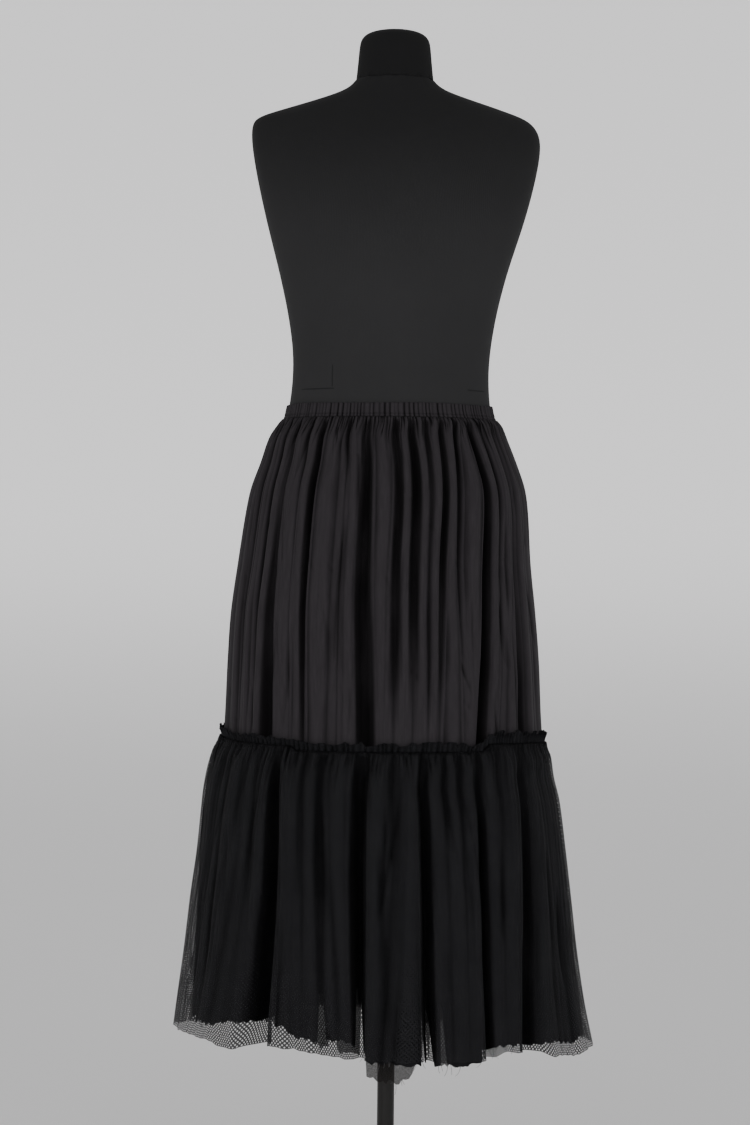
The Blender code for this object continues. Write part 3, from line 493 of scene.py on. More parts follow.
def ring_points(outline, bearing, height, offset=0.0, lift=0.0):
    """Points of an outline in metres, moved out from it by an offset."""
    left, right, front, back = outline_at(outline, height + lift)
    angle = np.radians(bearing)
    wide, deep = (left + right) / 2, (front + back) / 2
    across, ahead = np.sin(angle), -np.cos(angle)
    out_x, out_y = across / wide, ahead / deep
    length = np.hypot(out_x, out_y)
    x = (right - left) / 2 + wide * across + offset * out_x / length
    y = (back - front) / 2 + deep * ahead + offset * out_y / length
    return np.stack([x, y, height + 0.0 * x], axis=-1) * MM


def half_bearings(side):
    """First and last bearing of a front or back half, with the seam's gap between the halves."""
    gap = math.degrees(SIDE_SEAM_GAP / 2 / WAIST_HALF_WIDTH)
    if side == "front":
        return -90.0 + gap, 90.0 - gap
    return 90.0 + gap, 270.0 - gap


def fold_line(fold, down, knee):
    """Bearing, half width and depth of a fold down its tier."""
    places = [0.0, knee, 1.0]
    bearing = curve(places, [fold.top, fold.knee, fold.low], down)
    spread = fold.spread_top + (fold.spread_low - fold.spread_top) * down
    deep = curve(places, [fold.deep_top, fold.deep_knee, fold.deep_low], down)
    return Line(bearing, spread, np.maximum(deep, 0.0))


def fold_relief(folds, side, bearing, down, knee, crown_cap):
    """Depth of a tier under its outline: its folds, their crisp floors and the rounded ridges between them.

    Each fold leans to one side, so one of its walls is steeper than the other.
    """
    first, last = half_bearings(side)
    lines = [fold_line(fold, down, knee) for fold in folds]
    left = [line.bearing - line.spread for line in lines]
    right = [line.bearing + line.spread for line in lines]
    ridges = list(zip([2 * first - left[0], *right], [*left, 2 * last - right[-1]]))
    crowns = [
        np.minimum((end - start) * MM_PER_DEGREE * CROWN_SHARE, crown_cap) for start, end in ridges
    ]
    depth = np.zeros(np.shape(bearing))
    for (start, end), crown in zip(ridges, crowns):
        place = (bearing - start) / (end - start)
        depth = np.where((place >= 0.0) & (place <= 1.0), crown * (2.0 * place - 1.0) ** 2, depth)
    for index, (line, before, after) in enumerate(zip(lines, crowns, crowns[1:])):
        across = (bearing - line.bearing) / line.spread
        base = before + (after - before) * (across + 1.0) / 2
        lean = FOLD_LEAN * math.cos(FOLD_LEAN_STEP * index)
        tilted = np.abs(across - lean * np.clip(1.0 - across ** 2, 0.0, 1.0))
        profile = (1.0 - eased((tilted - FOLD_FLOOR) / (1.0 - FOLD_FLOOR))) ** FOLD_SHARPNESS
        reach = tilted * line.spread * MM_PER_DEGREE / FOLD_CREASE_REACH
        crisp = np.clip(1.0 - reach, 0.0, 1.0) ** CREASE_SHARPNESS
        inside = base + np.maximum(line.deep - base, 0.0) * profile + CREASE_FLOOR * crisp
        depth = np.where(np.abs(across) < 1.0, inside, depth)
    return depth


def groove(distance, width):
    """Share of a groove's depth at a distance from its line: rounded shoulders and a sharp floor."""
    return np.clip(1.0 - np.abs(distance) / width, 0.0, 1.0) ** GROOVE_SHARPNESS


def creases(table, bearing, height):
    """Depth of the listed creases."""
    depth = np.zeros(np.shape(bearing))
    for crease in table:
        places = [crease.low, crease.middle, crease.high]
        line = curve(places, [crease.bearing_low, crease.bearing_middle, crease.bearing_high], height)
        along = (crease.high - height) / (crease.high - crease.low)
        taper = np.sqrt(np.clip(np.sin(np.pi * np.clip(along, 0.0, 1.0)), 0.0, 1.0))
        depth += crease.depth * taper * groove((bearing - line) * MM_PER_DEGREE, crease.width)
    return depth


def sown(sowing, side, bearing, fall):
    """Depth of many small grooves, uneven in length, width and depth, that start a way down a piece.

    Those of a gathered edge all start at it and are deepest there.
    """
    first, last = half_bearings(side)
    chance = np.random.default_rng(sowing.seed + (BACK_SEED_STEP if side == "back" else 0))
    gathered = sowing.last_start == 0.0
    spacing = (last - first) / sowing.count
    depth = np.zeros(np.shape(bearing + fall))
    for index in range(sowing.count):
        line = first + (index + chance.uniform(0.2, 0.8)) * spacing
        start = chance.uniform(sowing.first_start, sowing.last_start)
        length = sowing.shortest * (sowing.longest / sowing.shortest) ** chance.uniform(0.0, 1.0)
        width = chance.uniform(sowing.narrow, sowing.wide)
        deep = chance.uniform(sowing.shallow, sowing.deep)
        slant = chance.uniform(-sowing.slant, sowing.slant)
        along = (fall - start) / length
        inside = (along >= 0.0) & (along <= 1.0)
        held = np.clip(along, 0.0, 1.0)
        taper = (1.0 - held) ** GATHER_TAPER if gathered else np.sin(np.pi * held) ** SOFT_TAPER
        widened = width * (1.0 + GROOVE_WIDENING * held)
        distance = (bearing - line - slant * held) * MM_PER_DEGREE
        depth += np.where(inside, deep * taper * groove(distance, widened), 0.0)
    return depth


def sown_all(sowings, side, bearing, fall):
    """Depth of several sowings that fall from the same edge."""
    return sum(sown(sowing, side, bearing, fall) for sowing in sowings)


def hollows(depth, kind):
    """How far points lie in a dip, 0 to 1, for painted shade: under the highest points a few columns to
    their sides.
    """
    ridge = depth
    for shape in (np.min, np.mean):
        padded = np.pad(ridge, ((0, 0), (kind.reach, kind.reach)), mode="edge")
        ridge = shape(np.lib.stride_tricks.sliding_window_view(padded, 2 * kind.reach + 1, axis=1), axis=-1)
    return np.clip((depth - ridge - kind.least) / kind.full, 0.0, 1.0) ** kind.power


def painted_fold_shade(depth):
    """Painted shade of the wide folds and of the narrow creases together, from 0 to 1."""
    wide, narrow = [kind.share * hollows(depth, kind) for kind in (WIDE_FOLD_SHADE, NARROW_CREASE_SHADE)]
    return 1.0 - (1.0 - wide) * (1.0 - narrow)


def ripple(kind, bearing, height):
    """Soft unevenness of a cloth: low waves that mostly run down it, from 0 to twice a depth."""
    chance = np.random.default_rng(kind.seed)
    total = np.zeros(np.shape(bearing + height))
    for _ in range(RIPPLE_WAVES):
        length = chance.uniform(kind.shortest, kind.longest)
        slope = chance.uniform(-RIPPLE_SLOPE, RIPPLE_SLOPE)
        phase = chance.uniform(0.0, math.tau)
        total += np.sin((bearing * MM_PER_DEGREE + height * slope) * math.tau / length + phase)
    return kind.depth * (1.0 + total / RIPPLE_WAVES)


def seam_fade(side, bearing):
    """0 at a half's side seams and 1 a little way in, so that both halves meet level."""
    first, last = half_bearings(side)
    return eased(np.minimum(bearing - first, last - bearing) / SIDE_FADE_DEGREES)


def row_places(grid, sizes):
    """Places down a piece, closer together near the top."""
    count = max(2, int(round(grid.length / (sizes.row_spacing / MM * grid.down))))
    return (np.arange(count + 1) / count) ** grid.finer_top


def panel_grid(folds, side, knee, grid, sizes):
    """Bearings of a panel's columns, which follow its folds, and the places of its rows down it."""
    first, last = half_bearings(side)
    downs, spacing = row_places(grid, sizes), sizes.grid / MM * grid.across
    marks, depths = [np.full(len(downs), first)], [np.zeros(len(downs))]
    for fold in folds:
        line = fold_line(fold, downs, knee)
        for across, share in ((-1.0, 0.0), (-FOLD_FLOOR, 1.0), (FOLD_FLOOR, 1.0), (1.0, 0.0)):
            marks.append(line.bearing + across * line.spread)
            depths.append(line.deep * share)
    marks.append(np.full(len(downs), last))
    depths.append(np.zeros(len(downs)))
    marks, depths = np.stack(marks, axis=1), np.stack(depths, axis=1)
    lengths = np.hypot(np.diff(marks) * MM_PER_DEGREE, np.diff(depths)).max(axis=0)
    steps = np.maximum(np.ceil(lengths / spacing), 1).astype(int)
    index = np.repeat(np.arange(len(steps)), steps)
    share = np.concatenate([np.arange(count) / count for count in steps])
    columns = marks[:, index] + (marks[:, index + 1] - marks[:, index]) * share
    return np.concatenate([columns, marks[:, -1:]], axis=1), downs[:, None]


def ragged(kind, bearing):
    """Uneven edge of torn cloth: small steps up and down, eased between points along it."""
    chance = np.random.default_rng(kind.seed)
    places = np.arange(-90.0, 270.0 + kind.spacing, kind.spacing)
    return np.interp(bearing, places, chance.uniform(-kind.depth, kind.depth, len(places)))


def notched(hem, bearing):
    """A hem's height, raised inside its narrow gaps."""
    for notch in HEM_NOTCHES:
        away = np.abs(bearing - notch.bearing) / notch.half_width
        share = 1.0 - eased((away - NOTCH_CORE) / NOTCH_EDGE)
        hem = hem + np.maximum(notch.height - hem, 0.0) * share
    return hem


def upper_points(side, sizes):
    """Points of a half of the upper tier, row by row from the waistband down."""
    folds = UPPER_FOLDS[side]
    bearing, down = panel_grid(folds, side, UPPER_KNEE, UPPER_GRID, sizes)
    bottom = seam_height(bearing)
    height = BAND_BOTTOM + (bottom - BAND_BOTTOM) * down
    relief = fold_relief(folds, side, bearing, down, UPPER_KNEE, UPPER_CROWN)
    from_band = (UPPER_GATHERS, UPPER_SOFT_FOLDS, UPPER_WRINKLES)
    fine = (
        sown_all(from_band, side, bearing, BAND_BOTTOM - height)
        + sown(UPPER_SEAM_PUCKERS, side, bearing, height - bottom)
        + creases(UPPER_CREASES, bearing, height)
        + ripple(UPPER_RIPPLE, bearing, height) * eased(down / RIPPLE_FADE_IN)
    )
    fine = fine * seam_fade(side, bearing)
    # Painted shade in the folds, creases and gathers
    painted_shade = painted_fold_shade(relief * eased(down / SHADE_FADE_IN) + fine)
    faded = relief * eased(down / UPPER_FADE_IN) * eased((height - bottom) / UPPER_SEAM_REACH)
    return ring_points(UPPER_OUTLINE, bearing, height, -faded - fine), painted_shade


def lower_relief(side, bearing, down):
    """Depth of the lower tier's folds under its outline, before they fade in."""
    return fold_relief(LOWER_FOLDS[side], side, bearing, down, LOWER_KNEE, LOWER_CROWN)


def lower_fine(side, bearing, top, height):
    """Depth of the lower tier's gathers and creases, which the net over it shares."""
    fine = (
        sown_all((LOWER_GATHERS, LOWER_LONG_CREASES), side, bearing, top - height)
        + creases(LOWER_CREASES, bearing, height)
    )
    return fine * seam_fade(side, bearing)


def lower_points(side, sizes):
    """Points of a half of the lower tier, row by row from the tier seam down."""
    bearing, down = panel_grid(LOWER_FOLDS[side], side, LOWER_KNEE, LOWER_GRID, sizes)
    top = lower_top(bearing)
    hem = notched(level_at(LOWER_HEM, bearing) + ragged(LOWER_TORN, bearing), bearing)
    height = top + (hem - top) * down
    plain_down = (top - height) / (top - level_at(LOWER_HEM, bearing))
    waves = ripple(LOWER_RIPPLE, bearing, height) * eased(down / RIPPLE_FADE_IN)
    fine = lower_fine(side, bearing, top, height) + waves * seam_fade(side, bearing)
    relief = lower_relief(side, bearing, plain_down)
    depth = relief * eased(plain_down / LOWER_FADE_IN) + fine
    # Painted shade in the folds and creases, and in a band under the tier seam
    painted_shade = painted_fold_shade(relief * eased(down / SHADE_FADE_IN) + fine)
    painted_shade = np.maximum(painted_shade, 1.0 - eased(down / SEAM_SHADE))
    return ring_points(LOWER_OUTLINE, bearing, height, -depth, lower_lift(bearing, plain_down)), painted_shade


def net_points(side, sizes):
    """Points of a half of the net: it follows the lower tier's folds a little way out from them."""
    bearing, down = panel_grid(LOWER_FOLDS[side], side, LOWER_KNEE, NET_GRID, sizes)
    top = lower_top(bearing)
    hem = level_at(NET_HEM, bearing) + ragged(NET_TORN, bearing)
    height = top + (hem - top) * down
    lower_down = (top - height) / (top - level_at(LOWER_HEM, bearing))
    lift = lower_lift(bearing, down)
    left, right, front, back = outline_at(NET_STAND_OFF, height + lift)
    across, ahead = np.sin(np.radians(bearing)), -np.cos(np.radians(bearing))
    stand_off = (
        np.where(across > 0, right, left) * across ** 2 + np.where(ahead > 0, back, front) * ahead ** 2
    )
    fine = sown_all((NET_GATHERS, NET_SOFT_FOLDS), side, bearing, top - height)
    fine = fine + ripple(NET_RIPPLE, bearing, height)
    fine = fine * seam_fade(side, bearing) * eased(down / NET_FADE_IN)
    relief = NET_FOLLOW * lower_relief(side, bearing, np.minimum(lower_down, 1.0))
    shared = NET_FOLLOW * lower_fine(side, bearing, top, height)
    dip = relief * eased(lower_down / LOWER_FADE_IN) + shared
    offset = stand_off - dip - np.minimum(fine, stand_off * NET_LEAST_SHARE)
    # Painted shade in the folds and creases, and in a band under the tier seam
    painted_shade = painted_fold_shade(relief * eased(down / SHADE_FADE_IN) + shared + fine)
    painted_shade = np.maximum(painted_shade, 1.0 - eased(down / SEAM_SHADE))
    return ring_points(LOWER_OUTLINE, bearing, height, offset, lift), painted_shade


def underskirt_points(side, sizes):
    """Points of a half of the sheer underskirt, inside the lower tier's folds."""
    first, last = half_bearings(side)
    count = int((last - first) * MM_PER_DEGREE / (sizes.grid / MM * UNDERSKIRT_GRID.across))
    share = np.arange(count + 1)[None, :] / count
    bearing = first + (last - first) * share
    down = row_places(UNDERSKIRT_GRID, sizes)[:, None]
    top = LOWEST_TIER_SEAM - FIT_GAP
    hem = notched(level_at(UNDERSKIRT_HEM, bearing) + ragged(UNDERSKIRT_TORN, bearing), bearing)
    height = top + (hem - top) * down
    drift = np.sin(np.pi / 2 * np.minimum(down / UNDERSKIRT_DRIFT_END, 1.0))
    wave = UNDERSKIRT_WAVE_DEPTH * (1.0 + np.cos(math.tau * share * UNDERSKIRT_WAVES / 2)) / 2
    fine = sown(UNDERSKIRT_CREASES, side, bearing, top - height)
    fine = fine + ripple(UNDERSKIRT_RIPPLE, bearing, height)
    inside = drift * (UNDERSKIRT_INSET + wave + fine * seam_fade(side, bearing))
    at_top = ring_points(UPPER_OUTLINE, bearing, height, -inside)
    below = ring_points(LOWER_OUTLINE, bearing, height, -inside, lower_lift(bearing, down))
    blend = eased(down / UNDERSKIRT_FADE_IN)[..., None]
    return at_top * (1.0 - blend) + below * blend, painted_fold_shade(inside)


def heading_points(side, sizes):
    """Points of a half of the ruffled heading, row by row from its torn edge down to its foot."""
    first, last = half_bearings(side)
    chance = np.random.default_rng(HEADING_SEEDS[side])
    ruffles = sizes.ruffles // 2
    widths = np.concatenate([[0.0], np.cumsum(chance.uniform(*RUFFLE_WIDTHS, ruffles))])
    edges = first + (last - first) * widths / widths[-1]
    strengths = chance.uniform(*RUFFLE_STRENGTHS, ruffles + 1)
    tall = chance.uniform(*RUFFLE_HEIGHTS, ruffles + 1)
    bearing = np.linspace(first, last, ruffles * HEADING_COLUMNS + 1)[None, :]
    phase = np.interp(bearing, edges, np.arange(ruffles + 1))
    strength = np.interp(bearing, edges, strengths)
    up = np.linspace(1.0, 0.0, HEADING_ROWS)[:, None]
    swing = HEADING_FOOT * strength * (0.3 + 0.7 * up)
    curl = np.sin(math.tau * phase * 2.0 + 0.7) * strength * up ** 2 * RUFFLE_CURL
    foot = lower_top(bearing) + FIT_GAP
    rise = level_at(HEADING_HEIGHTS, bearing) * (1.0 + np.interp(bearing, edges, tall))
    height = foot + rise * up + ragged(HEADING_TORN, bearing) * up
    stand = HEADING_FOOT + (HEADING_FLARE - HEADING_FOOT) * up ** 1.3
    wave = np.sin(math.tau * phase)
    offset = stand + swing * wave * RUFFLE_SWING
    # Painted shade in the valleys of the ruffles, weaker towards the torn edge and where ruffles are small
    painted_shade = np.clip(0.5 - 0.5 * wave, 0.0, 1.0) * (1.0 - 0.35 * up) * np.clip(strength, 0.0, 1.0)
    return ring_points(UPPER_OUTLINE, bearing + curl * seam_fade(side, bearing), height, offset), painted_shade


def waistband_points(sizes):
    """Points of the elastic casing, a closed ring from its inner top edge down to its lower seam."""
    chance = np.random.default_rng(BAND_SEED)
    crimps = sizes.band_crimps
    columns = crimps * CRIMP_COLUMNS
    widths = np.concatenate([[0.0], np.cumsum(chance.uniform(*CRIMP_WIDTHS, crimps))])
    bearing = 360.0 * np.arange(columns)[None, :] / columns
    phase = np.interp(bearing, 360.0 * widths / widths[-1], np.arange(crimps + 1))
    deep = chance.uniform(*CRIMP_DEPTHS, crimps)
    index = np.floor(phase).astype(int) % crimps
    valley = np.abs((phase % 1.0) - 0.5) * 2.0
    after = (index + 1) % crimps
    crimp = np.where(phase % 1.0 < 0.5, deep[index], deep[after]) * valley ** 3.0
    rows = BAND_TURN + [(place, 0.0) for place in np.linspace(0.0, 1.0, BAND_ROWS)]
    down, inset = np.array(rows).T[:, :, None]
    inside = np.clip(down, 0.0, 1.0)
    top = BAND_TOP + BAND_WAVE * np.sin(np.radians(5 * bearing)) - BAND_DIP * valley ** 3
    height = top + (BAND_BOTTOM + BAND_SEAM_GAP - top) * inside + np.minimum(down, 0.0) * 3.0
    bulge = BAND_BULGE * (1.0 - np.sin(np.pi * np.clip(inside, 0.02, 0.98)) ** 0.5)
    stitch = STITCH_DEPTH * np.exp(-((inside - STITCH_PLACE) / STITCH_WIDTH) ** 2)
    wander = 0.25 * np.sin(np.radians(bearing) * 37 + inside * 2.0)
    depth = crimp + bulge + stitch + inset - wander * inside * (1 - inside)
    # Painted shade in the crimps and along the stitching
    painted_shade = np.clip(crimp / 1.5 + stitch * 0.4, 0.0, 1.0) + 0.0 * depth
    return ring_points(BAND_OUTLINE, bearing, height, -depth), painted_shade


def cloth_mesh(name, points, painted_shade, closed=False):
    """A mesh of quads over a grid of points, with a map in metres and the painted shade at each point."""
    rows, columns = points.shape[:2]
    index = np.arange(rows * columns).reshape(rows, columns)
    if closed:
        left, right = index, np.roll(index, -1, axis=1)
        walked = np.concatenate([points, points[:, :1]], axis=1)
    else:
        left, right = index[:, :-1], index[:, 1:]
        walked = points
    quads = np.stack([left[:-1], left[1:], right[1:], right[:-1]], axis=-1).reshape(-1, 4)
    mesh = bpy.data.meshes.new(name)
    mesh.from_pydata(points.reshape(-1, 3).tolist(), [], quads.tolist())
    along = np.linalg.norm(np.diff(walked[rows // 2], axis=0), axis=1)
    u = np.concatenate([[0.0], np.cumsum(along)])
    steps = np.linalg.norm(np.diff(points, axis=0), axis=2).mean(axis=1)
    v = -np.concatenate([[0.0], np.cumsum(steps)])
    shape = left[:-1].shape
    u_left, u_right = [np.broadcast_to(side, shape) for side in (u[:-1], u[1:])]
    v_high, v_low = [np.broadcast_to(side, shape) for side in (v[:-1, None], v[1:, None])]
    corners = [(u_left, v_high), (u_left, v_low), (u_right, v_low), (u_right, v_high)]
    uv = np.stack([np.stack(corner, axis=-1) for corner in corners], axis=2)
    layer = mesh.uv_layers.new(name="cloth")
    layer.data.foreach_set("uv", uv.astype(np.float32).ravel())
    marks = mesh.attributes.new("painted_shade", "FLOAT", "POINT")
    marks.data.foreach_set("value", painted_shade.astype(np.float32).ravel())
    mesh.shade_smooth()
    thing = bpy.data.objects.new(name, mesh)
    bpy.context.collection.objects.link(thing)
    return thing


def select_only(thing):
    """Deselect everything, then select one object and make it active."""
    bpy.ops.object.select_all(action="DESELECT")
    thing.select_set(True)
    bpy.context.view_layer.objects.active = thing


def thicken(thing, wall):
    """Give a sheet its thickness, inwards, and apply it."""
    select_only(thing)
    bpy.ops.object.modifier_add(type="SOLIDIFY")
    solidify = thing.modifiers[-1]
    solidify.thickness = wall
    solidify.offset = -1.0
    bpy.ops.object.modifier_apply(modifier=solidify.name)


def paint(thing, shade):
    """Give an object one material in place of any it has."""
    thing.data.materials.clear()
    thing.data.materials.append(shade)


def place(thing, node, slot, shade):
    """Let a piece stand for a CAD node, with its material; the slot is not used."""
    paint(thing, shade)
    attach(thing, "root")
    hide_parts(node)


class Number:
    """A shader's number, for sums written in Python."""

    def __init__(self, shade, socket):
        self.shade = shade
        self.socket = socket

    def maths(self, operation, *values):
        made = self.shade.node("ShaderNodeMath", {"operation": operation}, dict(enumerate(values)))
        return Number(self.shade, made.outputs[0])

    def __add__(self, other):
        return self.maths("ADD", self, other)

    def __sub__(self, other):
        return self.maths("SUBTRACT", self, other)

    def __mul__(self, other):
        return self.maths("MULTIPLY", self, other)

    def __truediv__(self, other):
        return self.maths("DIVIDE", self, other)

    def __rsub__(self, other):
        return self.maths("SUBTRACT", other, self)

    def __neg__(self):
        return self.maths("MULTIPLY", self, -1.0)

    def __abs__(self):
        return self.maths("ABSOLUTE", self)

    __radd__ = __add__
    __rmul__ = __mul__

    def sine(self):
        return self.maths("SINE", self)

    def low_of(self, other):
        return self.maths("MINIMUM", self, other)

    def high_of(self, other):
        return self.maths("MAXIMUM", self, other)

    def step(self, low, high):
        """0 up to a low value, 1 past a high one, eased between."""
        made = self.shade.node(
            "ShaderNodeMapRange", {"interpolation_type": "SMOOTHSTEP"},
            {"Value": self, "From Min": low, "From Max": high},
        )
        return Number(self.shade, made.outputs["Result"])


class Shade:
    """A procedural material: nodes are made by one method, and its Principled shader takes the results."""

    def __init__(self, name):
        self.material = bpy.data.materials.new(name)
        self.material.use_nodes = True
        self.nodes = self.material.node_tree.nodes
        self.links = self.material.node_tree.links
        self.surface = self.nodes["Principled BSDF"]

    def node(self, kind, settings, values):
        """A node with its settings, and its inputs set to values or linked."""
        made = self.nodes.new(kind)
        for name, value in settings.items():
            setattr(made, name, value)
        for name, value in values.items():
            self.feed(made.inputs[name], value)
        return made

    def feed(self, socket, value):
        if isinstance(value, Number):
            self.links.new(value.socket, socket)
        elif isinstance(value, bpy.types.NodeSocket):
            self.links.new(value, socket)
        elif isinstance(socket.default_value, float):
            socket.default_value = value
        elif len(value) == 3 and len(socket.default_value) == 4:
            socket.default_value = (*value, 1.0)
        else:
            socket.default_value = value

    def set(self, **values):
        """Inputs of the Principled shader, their names with underscores for spaces."""
        for name, value in values.items():
            self.feed(self.surface.inputs[name.replace("_", " ")], value)

    def cloth_place(self):
        """Place on the cloth, in metres across and down it."""
        return self.node("ShaderNodeUVMap", {"uv_map": "cloth"}, {}).outputs["UV"]

    def object_place(self):
        """Place on the object, in metres."""
        return self.node("ShaderNodeTexCoord", {}, {}).outputs["Object"]

    def numbers(self, vector):
        """The three numbers of a place."""
        made = self.node("ShaderNodeSeparateXYZ", {}, {"Vector": vector})
        return [Number(self, made.outputs[axis]) for axis in "XYZ"]

    def painted_shade(self):
        """Painted shade in folds and creases, from 0 to 1: how deep a point lies in them, a little uneven
        along the cloth.
        """
        made = self.node("ShaderNodeAttribute", {"attribute_name": "painted_shade"}, {})
        uneven = self.noise(self.cloth_place(), 26.0, 1.0, 0.5, (1.0, 0.35, 1.0)).step(0.3, 0.62)
        return Number(self, made.outputs["Fac"]) * (uneven * 0.22 + 0.78)

    def gathers(self, spacing, reach):
        """Short uneven creases that run down from a gathered edge, from 0 to 1, which the cloths darken as
        painted shade.
        """
        vector = self.cloth_place()
        across, down = self.numbers(vector)[:2]
        wander = self.noise(vector, 60.0, 2.0, 0.5, (1.0, 0.15, 1.0))
        line = 1.0 - abs(((across / spacing + wander * 2.6) * math.pi).sine()).step(0.1, 0.55)
        length = self.noise(vector, 150.0, 1.0, 0.5, (1.0, 0.0, 1.0)).step(0.3, 0.75) * reach + reach * 0.2
        return line * (1.0 - (-down / length).step(0.4, 1.0))

    def noise(self, vector, scale, detail=3.0, roughness=0.5, stretch=None):
        """Noise from 0 to 1, stretched along an axis where asked."""
        if stretch:
            scaled = self.node("ShaderNodeVectorMath", {"operation": "MULTIPLY"}, {0: vector, 1: stretch})
            vector = scaled.outputs["Vector"]
        made = self.node(
            "ShaderNodeTexNoise", {"noise_dimensions": "3D"},
            {"Vector": vector, "Scale": scale, "Detail": detail, "Roughness": roughness},
        )
        return Number(self, made.outputs["Fac"])

    def mix(self, share, first, second):
        """A colour between two colours."""
        black = (0, 0, 0)
        made = self.node("ShaderNodeMix", {"data_type": "RGBA"}, {"Factor": share, "A": black, "B": black})
        colours = [socket for socket in made.inputs if socket.type == "RGBA"]
        self.feed(colours[0], first)
        self.feed(colours[1], second)
        return next(socket for socket in made.outputs if socket.type == "RGBA")

    def tones(self, share, colour, low, high):
        """A colour between a darker and a lighter tone of itself."""
        return self.mix(share, scaled(colour, low), scaled(colour, high))

    def bump(self, height, distance, strength=1.0):
        """Raise the surface by a height, a distance in metres for a height of 1."""
        made = self.node(
            "ShaderNodeBump", {}, {"Height": height, "Distance": distance, "Strength": strength},
        )
        self.feed(self.surface.inputs["Normal"], made.outputs["Normal"])


def scaled(colour, factor):
    """A colour made lighter or darker."""
    return tuple(channel * factor for channel in colour)


def jersey_shade(colours, name, lightness):
    """Fine ribbed jersey, darkened with painted shade towards the form's shoulder line, with its cover's
    short seams.
    """
    shade = Shade(name)
    vector = shade.object_place()
    x, y, z = shade.numbers(vector)
    cloud = shade.noise(vector, 9.0, 4.0)
    fuzz = shade.noise(vector, 900.0, 2.0)
    angle = x.maths("ARCTAN2", x, -y)
    ribs = (angle * 400.0).sine() * 0.5 + 0.5
    level_seam = 1.0 - abs(z - COVER_SEAM).step(0.0004, 0.0012)
    left_start, left_end = [(x - end).step(0.0, fade) for end, fade in COVER_SEAM_LEFT]
    right_start, right_end = [(x - end).step(0.0, fade) for end, fade in COVER_SEAM_RIGHT]
    low_end, high_end = [(z - end).step(0.0, fade) for end, fade in COVER_UPRIGHT_SPAN]
    upright = (1.0 - abs(x - COVER_UPRIGHT).step(0.0003, 0.0012)) * low_end * (1.0 - high_end)
    sides = left_start * (1.0 - left_end) + right_start * (1.0 - right_end)
    seam = (level_seam * sides + upright).low_of(1.0) * (-y).step(0.0, 0.02)
    tone = shade.tones(cloud, colours.jersey, 0.88 * lightness, 1.12 * lightness)
    tone = shade.mix(fuzz * 0.5, tone, scaled(colours.jersey, 0.7 * lightness))
    # Painted shade: the jersey darkens upwards to the top of the torso
    painted_shoulder_shade = z.step(*SHOULDER_SHADE) * SHOULDER_SHADE_SHARE
    tone = shade.mix(painted_shoulder_shade, tone, scaled(colours.jersey, 0.25 * lightness))
    shade.set(
        Base_Color=shade.mix(seam * 0.6, tone, scaled(colours.jersey, 0.3)), Roughness=0.95,
        Sheen_Weight=0.03, Sheen_Roughness=0.5, Specular_IOR_Level=0.05,
    )
    shade.bump(ribs * 0.4 + fuzz * 0.6 - seam * 2.0, 0.0003, 0.6)
    return shade.material


def cotton_shade(colours, name, gathered):
    """Cotton and silk voile: a fine uneven weave, with short gathers under the waistband where asked."""
    shade = Shade(name)
    vector = shade.cloth_place()
    slubs = shade.noise(vector, 260.0, 3.0, 0.6, (1.0, 0.12, 1.0))
    weave = shade.noise(vector, 1300.0, 2.0)
    tone = shade.tones(shade.noise(vector, 14.0), colours.cotton, 0.86, 1.14)
    tone = shade.mix(slubs.step(0.35, 0.8) * 0.5, tone, scaled(colours.cotton, 1.5))
    tone = shade.mix(weave * 0.4, tone, scaled(colours.cotton, 0.6))
    # dark is painted shade: folds and creases, and where gathered the gathers' lines, darken the colour
    dark, relief = shade.painted_shade(), weave * 0.5 + slubs
    if gathered:
        lines = shade.gathers(*BAND_GATHERS)
        dark, relief = dark.high_of(lines * 0.95), relief - lines * 4.0
    shade.set(
        Base_Color=shade.mix(dark * 0.95, tone, scaled(colours.cotton, 0.08)),
        Roughness=slubs * 0.16 + 0.6, Sheen_Weight=0.02, Sheen_Roughness=0.5, Specular_IOR_Level=0.02,
    )
    shade.bump(relief, 0.0004, 0.5)
    return shade.material


def silk_shade(colours, name, gathered):
    """Dense silk organza with a fine grain, thin enough for a little light to pass."""
    shade = Shade(name)
    vector = shade.cloth_place()
    grain = shade.noise(vector, 900.0, 3.0, 0.7)
    slubs = shade.noise(vector, 300.0, 2.0, 0.6, (1.0, 0.1, 1.0))
    tone = shade.tones(shade.noise(vector, 18.0), colours.silk, 0.8, 1.2)
    tone = shade.mix(grain.step(0.3, 0.75), scaled(colours.silk, 0.55), tone)
    # dark is painted shade: folds and creases, and where gathered the gathers' lines, darken the colour
    dark = shade.painted_shade()
    if gathered:
        dark = dark.high_of(shade.gathers(*TIER_GATHERS) * 0.9)
    shade.set(
        Base_Color=shade.mix(dark * 0.9, tone, scaled(colours.silk, 0.1)), Roughness=slubs * 0.2 + 0.6,
        Sheen_Weight=0.01, Sheen_Roughness=0.5, Specular_IOR_Level=0.02,
        Alpha=grain.step(0.2, 0.5) * 0.1 + 0.88,
    )
    shade.bump(grain * 0.6 + slubs, 0.0004, 0.6)
    return shade.material


